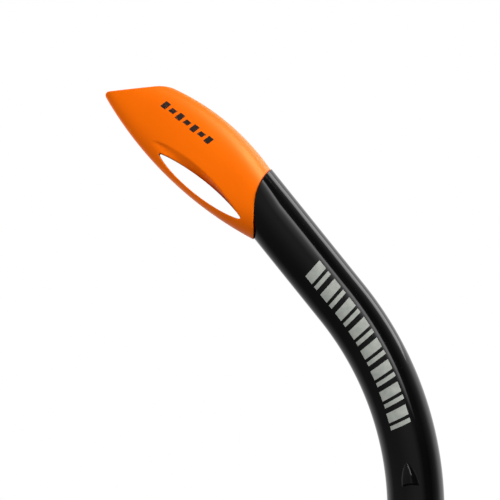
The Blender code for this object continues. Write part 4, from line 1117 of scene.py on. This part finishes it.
def make_cover():
    """The purge cover: a fluted skirt, a stepped face, and a ring of vents."""
    lip_outer, lip_inner = CHAMBER_BORE - GAP, CHAMBER_BORE - GAP - 0.9 * MM
    skirt_bore = CHAMBER_RADIUS + 0.15 * MM
    plate_top, step = COVER_BOTTOM + COVER_PLATE, COVER_BOTTOM + 0.5 * MM
    skirt = rounded_outline([
        (skirt_bore, COVER_TOP, 0.2 * MM),
        (COVER_RADIUS, COVER_TOP, 0.6 * MM),
        (COVER_RADIUS, COVER_BOTTOM + 3 * MM, 1.4 * MM),
        (COVER_RADIUS - 3 * MM, COVER_BOTTOM, 1.6 * MM),
        (VENT_OUTER + 1.0 * MM, COVER_BOTTOM, 0.2 * MM),
        (VENT_OUTER + 0.6 * MM, step, 0.2 * MM),
        (VENT_INNER - 0.6 * MM, step, 0.2 * MM),
        (VENT_INNER - 1.0 * MM, COVER_BOTTOM + 0.1 * MM, 0.3 * MM),
        (2.0 * MM, COVER_BOTTOM + 0.1 * MM, 0.4 * MM),
        (2.0 * MM, plate_top, 0.2 * MM),
        (lip_inner, plate_top, 0.6 * MM),
        (lip_inner, SEAT_BOTTOM - GAP, 0),
        (lip_outer, SEAT_BOTTOM - GAP, 0),
        (lip_outer, CHAMBER_BOTTOM - GAP, 0),
        (skirt_bore, CHAMBER_BOTTOM - GAP, 0),
    ])
    low, high = COVER_BOTTOM + 5 * MM, COVER_TOP - 1.5 * MM
    split = 1 + next(i for i, (radius, z) in enumerate(skirt) if radius > COVER_RADIUS - 1e-6)
    depths = [0.0] + [0.4 * MM] * 9 + [0.0]
    wall = [(COVER_RADIUS, between(high, low, share), depth) for share, depth in zip(steps(10), depths)]
    skirt = skirt[:split] + wall + skirt[split:]
    cover = add_object("purge_cover_moulded", turned(skirt, 256, flutes=32))
    middle = (VENT_OUTER + VENT_INNER) / 2
    outline = rounded_rectangle((VENT_OUTER - VENT_INNER) / 2, VENT_WIDTH / 2, 1.45 * MM)
    for k in range(COVER_VENTS):
        ends = (COVER_BOTTOM - 2 * MM, plate_top + 2 * MM)
        vent = skin([[Vector((x + middle, y, z)) for x, y in outline] for z in ends])
        combine(cover, "DIFFERENCE", [vent], Matrix.Rotation(math.tau * (k + 0.5) / COVER_VENTS, 4, "Z"))
    return moulded(placed(cover, CHAMBER), 0.27 * MM, 2, ORANGE)


# ---- mouthpiece ----


def mouth_ring(half_y, half_x, z, wrap=0.0, power=2.0, dip=0.0):
    """A ring across the mouthpiece. Wrap sweeps its sides out round the teeth, power over 2 squares
    it up, and dip notches its middle above and below for the lips."""
    ring = []
    for angle in circle_angles(128):
        y = half_y * squared(math.cos(angle), power)
        x = half_x * squared(math.sin(angle), power)
        x *= 1 - dip * math.exp(-((y / (6 * MM)) ** 2))
        ring.append(Vector((x, y, z + wrap * y * y)))
    return ring


def flange_ring(hole, share, z):
    """A ring of the lip flange's face, at a share of the way from a hole's edge to its rim."""
    size = [between(a, b - 0.8 * MM, share) for a, b in zip(hole, FLANGE_HALF)]
    return mouth_ring(*size, z, FLANGE_WRAP, 2.1 + 0.3 * share, 0.10 * share)


def eased(first, second, count):
    """Number groups from first to second, slow at both ends, without the first."""
    shares = [smooth_step(share) for share in steps(count)[1:]]
    return [tuple(between(a, b, share) for a, b in zip(first, second)) for share in shares]


def make_mouthpiece():
    """The silicone mouthpiece: a neck that flattens into a duct, a lip flange and two bite tabs."""
    step = MOUTH_SPIGOT_END + 0.5 * MM
    neck = [(-0.7, NECK_START), (0, NECK_START + 0.8 * MM)]
    neck += [(dip, TIE_AT + z * MM) for dip, z in ((0, -3.4), (-0.5, -2.4), (-0.5, 2.4), (0, 3.4))]
    outer = [(NECK_RADIUS + dip * MM, NECK_RADIUS + dip * MM, z) for dip, z in [*neck, (0, step)]]
    outer += eased(outer[-1], (*DUCT_HALF, FLANGE_AT - 3.5 * MM), 14)
    root = (DUCT_HALF[0] + 0.4 * MM, DUCT_HALF[1] + 0.3 * MM, FLANGE_AT - 1.5 * MM)
    rings = [mouth_ring(*station) for station in outer] + [mouth_ring(*root, 0.5 * FLANGE_WRAP)]
    flare = (DUCT_HALF[0] + 1.8 * MM, DUCT_HALF[1] + 1.5 * MM)
    rings += [flange_ring(flare, share, FLANGE_AT) for share in steps(8)]
    for inset, rise in ((0.25, 0.25), (0.0, 0.7), (0.0, 1.5), (0.25, 1.95)):
        size = [half - inset * MM for half in FLANGE_HALF]
        rings.append(mouth_ring(*size, FLANGE_AT + rise * MM, FLANGE_WRAP, 2.4, 0.10))
    duct_bore = (DUCT_HALF[0] - DUCT_WALL, DUCT_HALF[1] - DUCT_WALL)
    rings += [flange_ring(duct_bore, share, FLANGE_AT + FLANGE_THICKNESS) for share in steps(8)[::-1]]
    inner = [(*duct_bore, FLANGE_AT - 3 * MM)]
    inner += eased(inner[-1], (MOUTH_SPIGOT_BORE, MOUTH_SPIGOT_BORE, step), 12)
    neck_bore = MOUTH_SPIGOT_RADIUS + 0.15 * MM
    inner += [(neck_bore, neck_bore, z) for z in (step, NECK_START)]
    rings += [mouth_ring(*station) for station in inner]
    mouthpiece = add_object("mouthpiece_moulded", skin(rings, closed=True))
    foot = FLANGE_AT + 0.6 * MM + FLANGE_WRAP * BITE_Y**2
    end = foot - 0.6 * MM + BITE_LENGTH
    shapes = [
        (BITE_HALF_Z, BITE_HALF_Y, foot - 2 * MM, end - 1 * MM, 1.2 * MM),
        (BITE_RIDGE_HALF_Z, BITE_HALF_Y + 0.5 * MM, end - BITE_RIDGE_LENGTH, end, 1.5 * MM),
        (BITE_HALF_Z + 1 * MM, BITE_HALF_Y - 1 * MM, foot - 2 * MM, foot + 2.4 * MM, 0.9 * MM),
    ]
    tabs = []
    for y in (-BITE_Y, BITE_Y):
        for half_x, half_y, low, high, bevel in shapes:
            tabs.append(block((-half_x, y - half_y, low), (half_x, y + half_y, high), bevel))
    combine(mouthpiece, "UNION", tabs)
    return moulded(placed(mouthpiece, MOUTH), 0.42 * MM, 5, SILICONE)


def make_tie():
    """The cable tie round the neck: a band, its head with a slot, and the trimmed tail."""
    inner, outer = NECK_RADIUS + 0.05 * MM, NECK_RADIUS + GAP + TIE_THICKNESS
    low, high = TIE_AT - TIE_WIDTH / 2, TIE_AT + TIE_WIDTH / 2
    corners = ((inner, low), (outer, low), (outer, high), (inner, high))
    band = rounded_outline([(*corner, 0.35 * MM) for corner in corners], 4)
    tie = add_object("mouthpiece_tie_toothed", turned(band, 480))

    def side_block(near, far, ys, half_z, bevel=0.0):
        """A box beside the neck, from near to far out from it."""
        x = -NECK_RADIUS - 2 * GAP
        return block((x - far, ys[0], TIE_AT - half_z), (x - near, ys[1], TIE_AT + half_z), bevel, 3)

    deep, wide, tall = TIE_HEAD
    head = side_block(0, deep - 1.5 * MM, (-wide / 2, wide / 2), tall / 2, 0.6 * MM)
    combine(tie, "UNION", [head, side_block(*mm(2.3, 3.4), mm(1.5, 4.2), 1.7 * MM)])
    combine(tie, "DIFFERENCE", [side_block(*mm(3.7, 4.2), mm(-3, 3), 1.3 * MM)])
    return moulded(placed(tie, MOUTH), 0.16 * MM, 1, SATIN)


# ---- printed marks ----


def printed_bar(name, corners, surface, material, cells=10):
    """A thin printed patch: corners are (a, b) in the surface's own two coordinates, in order."""
    bm = bmesh.new()
    a, b, c, d = (Vector(corner) for corner in corners)
    grid = []
    for up in steps(cells):
        line = [a.lerp(b, along).lerp(d.lerp(c, along), up) for along in steps(cells)]
        grid.append([bm.verts.new(surface(point)) for point in line])
    add_sheet(bm, grid)
    return add_object(name, bm, material)


def on_barrel(point):
    s, u = point
    return barrel_point(s, u, -barrel_skin_y(u) - 0.03 * MM)


def on_tip(point):
    flat = Vector((point.x, 0, point.y))
    return flat - Y_AXIS * (tip_surface_y(flat) + 0.02 * MM)


def make_barrel_marks():
    """A run of slanted bars down the barrel's near side, each with a narrower one beside it."""
    marks = []
    half, slant = mm(4.6, 1.6)
    for k in range(8):
        start = (119.7 - 10.35 * k) * MM
        middle = -2.3 * MM + 1.4 * MM * min(1.0, (start - 36 * MM) / (50 * MM))
        for near, far in (mm(0.0, 4.5), mm(6.0, 7.9)):
            corners = []
            for s, side in ((near, -1), (far, -1), (far, 1), (near, 1)):
                corners.append((start - s + side * slant / 2, middle + side * half))
            marks.append(printed_bar("barrel_bar", corners, on_barrel, GREY_INK))
    return joined("barrel_marks", marks)


def make_tip_marks():
    """A row of short slanted dashes below the tip's back edge."""
    first, last = Vector(mm(-88.9, 197.9)), Vector(mm(-67.0, 180.0))
    along = (last - first).normalized()
    up = Vector((-along.y, along.x))
    marks = []
    for k in range(7):
        start = first.lerp(last, k / 7)
        tall = (2.2 if k % 2 else 3.4) * MM
        corners = []
        for a, b in ((0.0, -0.5), (0.64, -0.5), (0.64, 0.5), (0.0, 0.5)):
            corners.append(start + along * (a * 4.0 * MM + b * 0.8 * MM) + up * b * tall)
        marks.append(printed_bar("tip_dash", corners, on_tip, BLACK_INK))
    return joined("tip_marks", marks)


# ---- assembly ----

finish_piece(make_barrel(), "barrel", "barrel")
stop_pieces = [make_stop("stop_front", -1), make_stop("stop_back", 1)]
for stop_piece in stop_pieces:
    finish_piece(stop_piece, "barrel", "barrel")
tip_piece = finish_piece(make_tip(), "barrel", "tip_shell")
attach(make_barrel_marks(), "barrel")
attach(make_tip_marks(), "barrel")
finish_piece(make_collar(), "keeper", "keeper_collar")
finish_piece(make_clip(), "clip", "strap_clip")
finish_piece(make_pin(), "clip", "swivel_pin")

hose = make_hose()
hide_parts("flex_hose")
hose_point(0, 0, 0)
hose_point(HOSE_LENGTH, 0, 0)
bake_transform(hose)

upper_end = Matrix.Translation((BARREL_X, 0, (SHOULDER_BOTTOM_Z + SPIGOT_BOTTOM_Z) / 2 + 1 * MM))
upper_ring = placed(make_clamp_ring("upper_clamp_fluted"), upper_end)
finish_piece(upper_ring, "hose", "upper_clamp_ring")
lower_end = CHAMBER @ Matrix.Translation((0, 0, -CUFF_LENGTH / 2))
lower_ring = placed(make_clamp_ring("lower_clamp_fluted"), lower_end)
finish_piece(lower_ring, "chamber", "lower_clamp_ring")

finish_piece(make_housing(), "chamber", "purge_housing")
finish_piece(make_cover(), "chamber", "purge_cover")
finish_piece(make_mouthpiece(), "chamber", "mouthpiece")
finish_piece(make_tie(), "chamber", "mouthpiece_tie")

for node_name, node_material in (("splash_baffle", ORANGE), ("valve_seat", SATIN), ("purge_valve", CLEAR)):
    node = frame["nodes"][node_name]
    node.data.materials.clear()
    node.data.materials.append(node_material)


# ---- stage, light and camera ----


def make_floor():
    """A pale floor that fades into the white surroundings, and that a view from below looks
    through."""
    low, high = cad_bounds
    middle = (Vector(low) + Vector(high)) / 2
    middle.z = low[2] - FLOOR_DROP
    bm = bmesh.new()
    corners = [(-1, -1), (1, -1), (1, 1), (-1, 1)]
    bm.faces.new([bm.verts.new((middle.x + x, middle.y + y, middle.z)) for x, y in corners])
    s = Shader("floor_pale", 0.6)
    s.put(Base_Color=s.mottle(3.0, 3.0, 0.80, 0.84))
    away = s.add("ShaderNodeVectorMath", operation="DISTANCE")
    away.inputs[1].default_value = middle
    s.fill(away.inputs[0], s.place)
    faded = s.ramp(away.outputs["Value"], [(0.16, 0.0), (0.42, 1.0)])
    unseen = s.maths("MAXIMUM", faded, s.add("ShaderNodeNewGeometry").outputs["Backfacing"])
    clear = s.add("ShaderNodeBsdfTransparent").outputs[0]
    surface = s.mix_shaders(unseen, s.principled.outputs[0], clear)
    s.fill(s.tree.nodes["Material Output"].inputs["Surface"], surface)
    floor = add_object("floor", bm, s.material)
    floor.visible_glossy = False
    floor.visible_diffuse = False


def make_world():
    """A studio: white behind and at the sides, dim in front and below, with a dark gap at the
    front right, and a soft box beside it that is brightest at its right edge. Only reflections see
    it: the camera sees plain white, and an even grey lights the surfaces."""
    world = bpy.data.worlds.new("studio")
    bpy.context.scene.world = world
    world.use_nodes = True
    w = Nodes(world.node_tree)
    w.tree.nodes.clear()

    def scaled(value, low, high, out_low, out_high):
        return w.joint(w.add("ShaderNodeMapRange"), (value, low, high, out_low, out_high))

    def by_azimuth(stops):
        return w.ramp(turn, [((degrees + 180) / 360, grey) for degrees, grey in stops])

    def background(colour):
        return w.joint(w.add("ShaderNodeBackground"), [colour])

    way = w.add("ShaderNodeTexCoord").outputs["Generated"]
    split = w.add("ShaderNodeSeparateXYZ")
    w.fill(split.inputs[0], way)
    x, y, z = split.outputs
    azimuth = w.maths("ARCTAN2", x, w.maths("MULTIPLY", y, -1.0))
    turn = scaled(azimuth, -math.pi, math.pi, 0.0, 1.0)
    around = [(-180, 0.95), (-125, 0.80), (-108, 0.45), (-94, 0.18), (-40, 0.18), (0, 0.25), (20, 0.24)]
    around += [(38, 0.03), (64, 0.01), (80, 0.10), (94, 0.25), (104, 0.60), (116, 1.10), (180, 0.95)]
    room = w.maths("MULTIPLY", by_azimuth(around), scaled(z, -0.60, -0.05, 0.42, 1.0))
    across = [(6, 0.0), (20, 0.07), (27, 0.16), (33, 0.38), (38, 0.75), (42, 0.75), (44, 0.0)]
    upright = w.ramp(z, [(0.11, 0.0), (0.24, 1.0), (0.80, 1.0), (0.90, 0.0)])
    box = w.maths("MULTIPLY", w.maths("MULTIPLY", by_azimuth(across), upright), 4.6)
    path = w.add("ShaderNodeLightPath").outputs
    reflected = background(w.maths("ADD", room, box))
    lit = w.mix_shaders(path["Is Diffuse Ray"], reflected, background((0.20, 0.20, 0.20)))
    both = w.mix_shaders(path["Is Camera Ray"], lit, background((1.0, 1.0, 1.0)))
    w.fill(w.add("ShaderNodeOutputWorld").inputs["Surface"], both)


def add_area(name, azimuth, elevation, distance, width, height, radiance, glossy=False):
    """A rectangular softbox seen from the aim point at that azimuth (0 is the camera's side, 90 is
    +X) and elevation, in degrees."""
    a, e = math.radians(azimuth), math.radians(elevation)
    way = Vector((math.sin(a) * math.cos(e), -math.cos(a) * math.cos(e), math.sin(e)))
    data = bpy.data.lights.new(name, "AREA")
    data.shape = "RECTANGLE"
    data.size, data.size_y = width, height
    data.energy = radiance * math.pi * width * height
    lamp = bpy.data.objects.new(name, data)
    bpy.context.scene.collection.objects.link(lamp)
    lamp.location = LIGHT_AIM + way * distance
    lamp.rotation_mode = "QUATERNION"
    lamp.rotation_quaternion = (-way).to_track_quat("-Z", "Y")
    lamp.visible_camera = False
    lamp.visible_glossy = glossy
    return lamp


def light_only(lamp, pieces):
    """Makes the lamp a gleam on these pieces alone."""
    lamp.visible_diffuse = False
    only = bpy.data.collections.new(lamp.name + "_receives")
    for piece in pieces:
        only.objects.link(piece)
    lamp.light_linking.receiver_collection = only


def make_lights(tip, stops):
    add_area("key_front_right", 57, 30, 1.6, 0.9, 0.9, 12.9)
    add_area("fill_front_left", -68, 6, 1.6, 0.9, 0.9, 5.9)
    add_area("back_right", 140, 30, 1.6, 0.9, 0.9, 9.0)
    add_area("back_left", -130, 30, 1.6, 0.9, 0.9, 9.0)
    add_area("box_back_right", 115, 36, 1.5, 0.5, 0.9, 2.4, glossy=True)
    light_only(add_area("tip_glow", 57, 40, 1.2, 0.6, 0.6, 13.0, glossy=True), [tip])
    light_only(add_area("stop_glint", -6, 40, 1.2, 0.2, 0.5, 9.0, glossy=True), stops)


def make_camera():
    """A long lens that looks level along +Y at the tip and the upper barrel."""
    data = bpy.data.cameras.new("camera")
    data.lens = 200.0
    data.sensor_width = 36.0
    data.clip_start, data.clip_end = 0.01, 50.0
    camera = bpy.data.objects.new("camera", data)
    bpy.context.scene.collection.objects.link(camera)
    distance = VIEW_FIELD * data.lens / data.sensor_width
    camera.location = Vector((BARREL_X - 73.0 * MM, 0, 133.7 * MM)) - Y_AXIS * distance
    camera.rotation_euler = (math.pi / 2, 0, 0)
    bpy.context.scene.camera = camera


make_floor()
make_world()
make_lights(tip_piece, stop_pieces)
make_camera()
bpy.context.scene.view_settings.view_transform = "Standard"
bpy.context.scene.view_settings.look = "None"
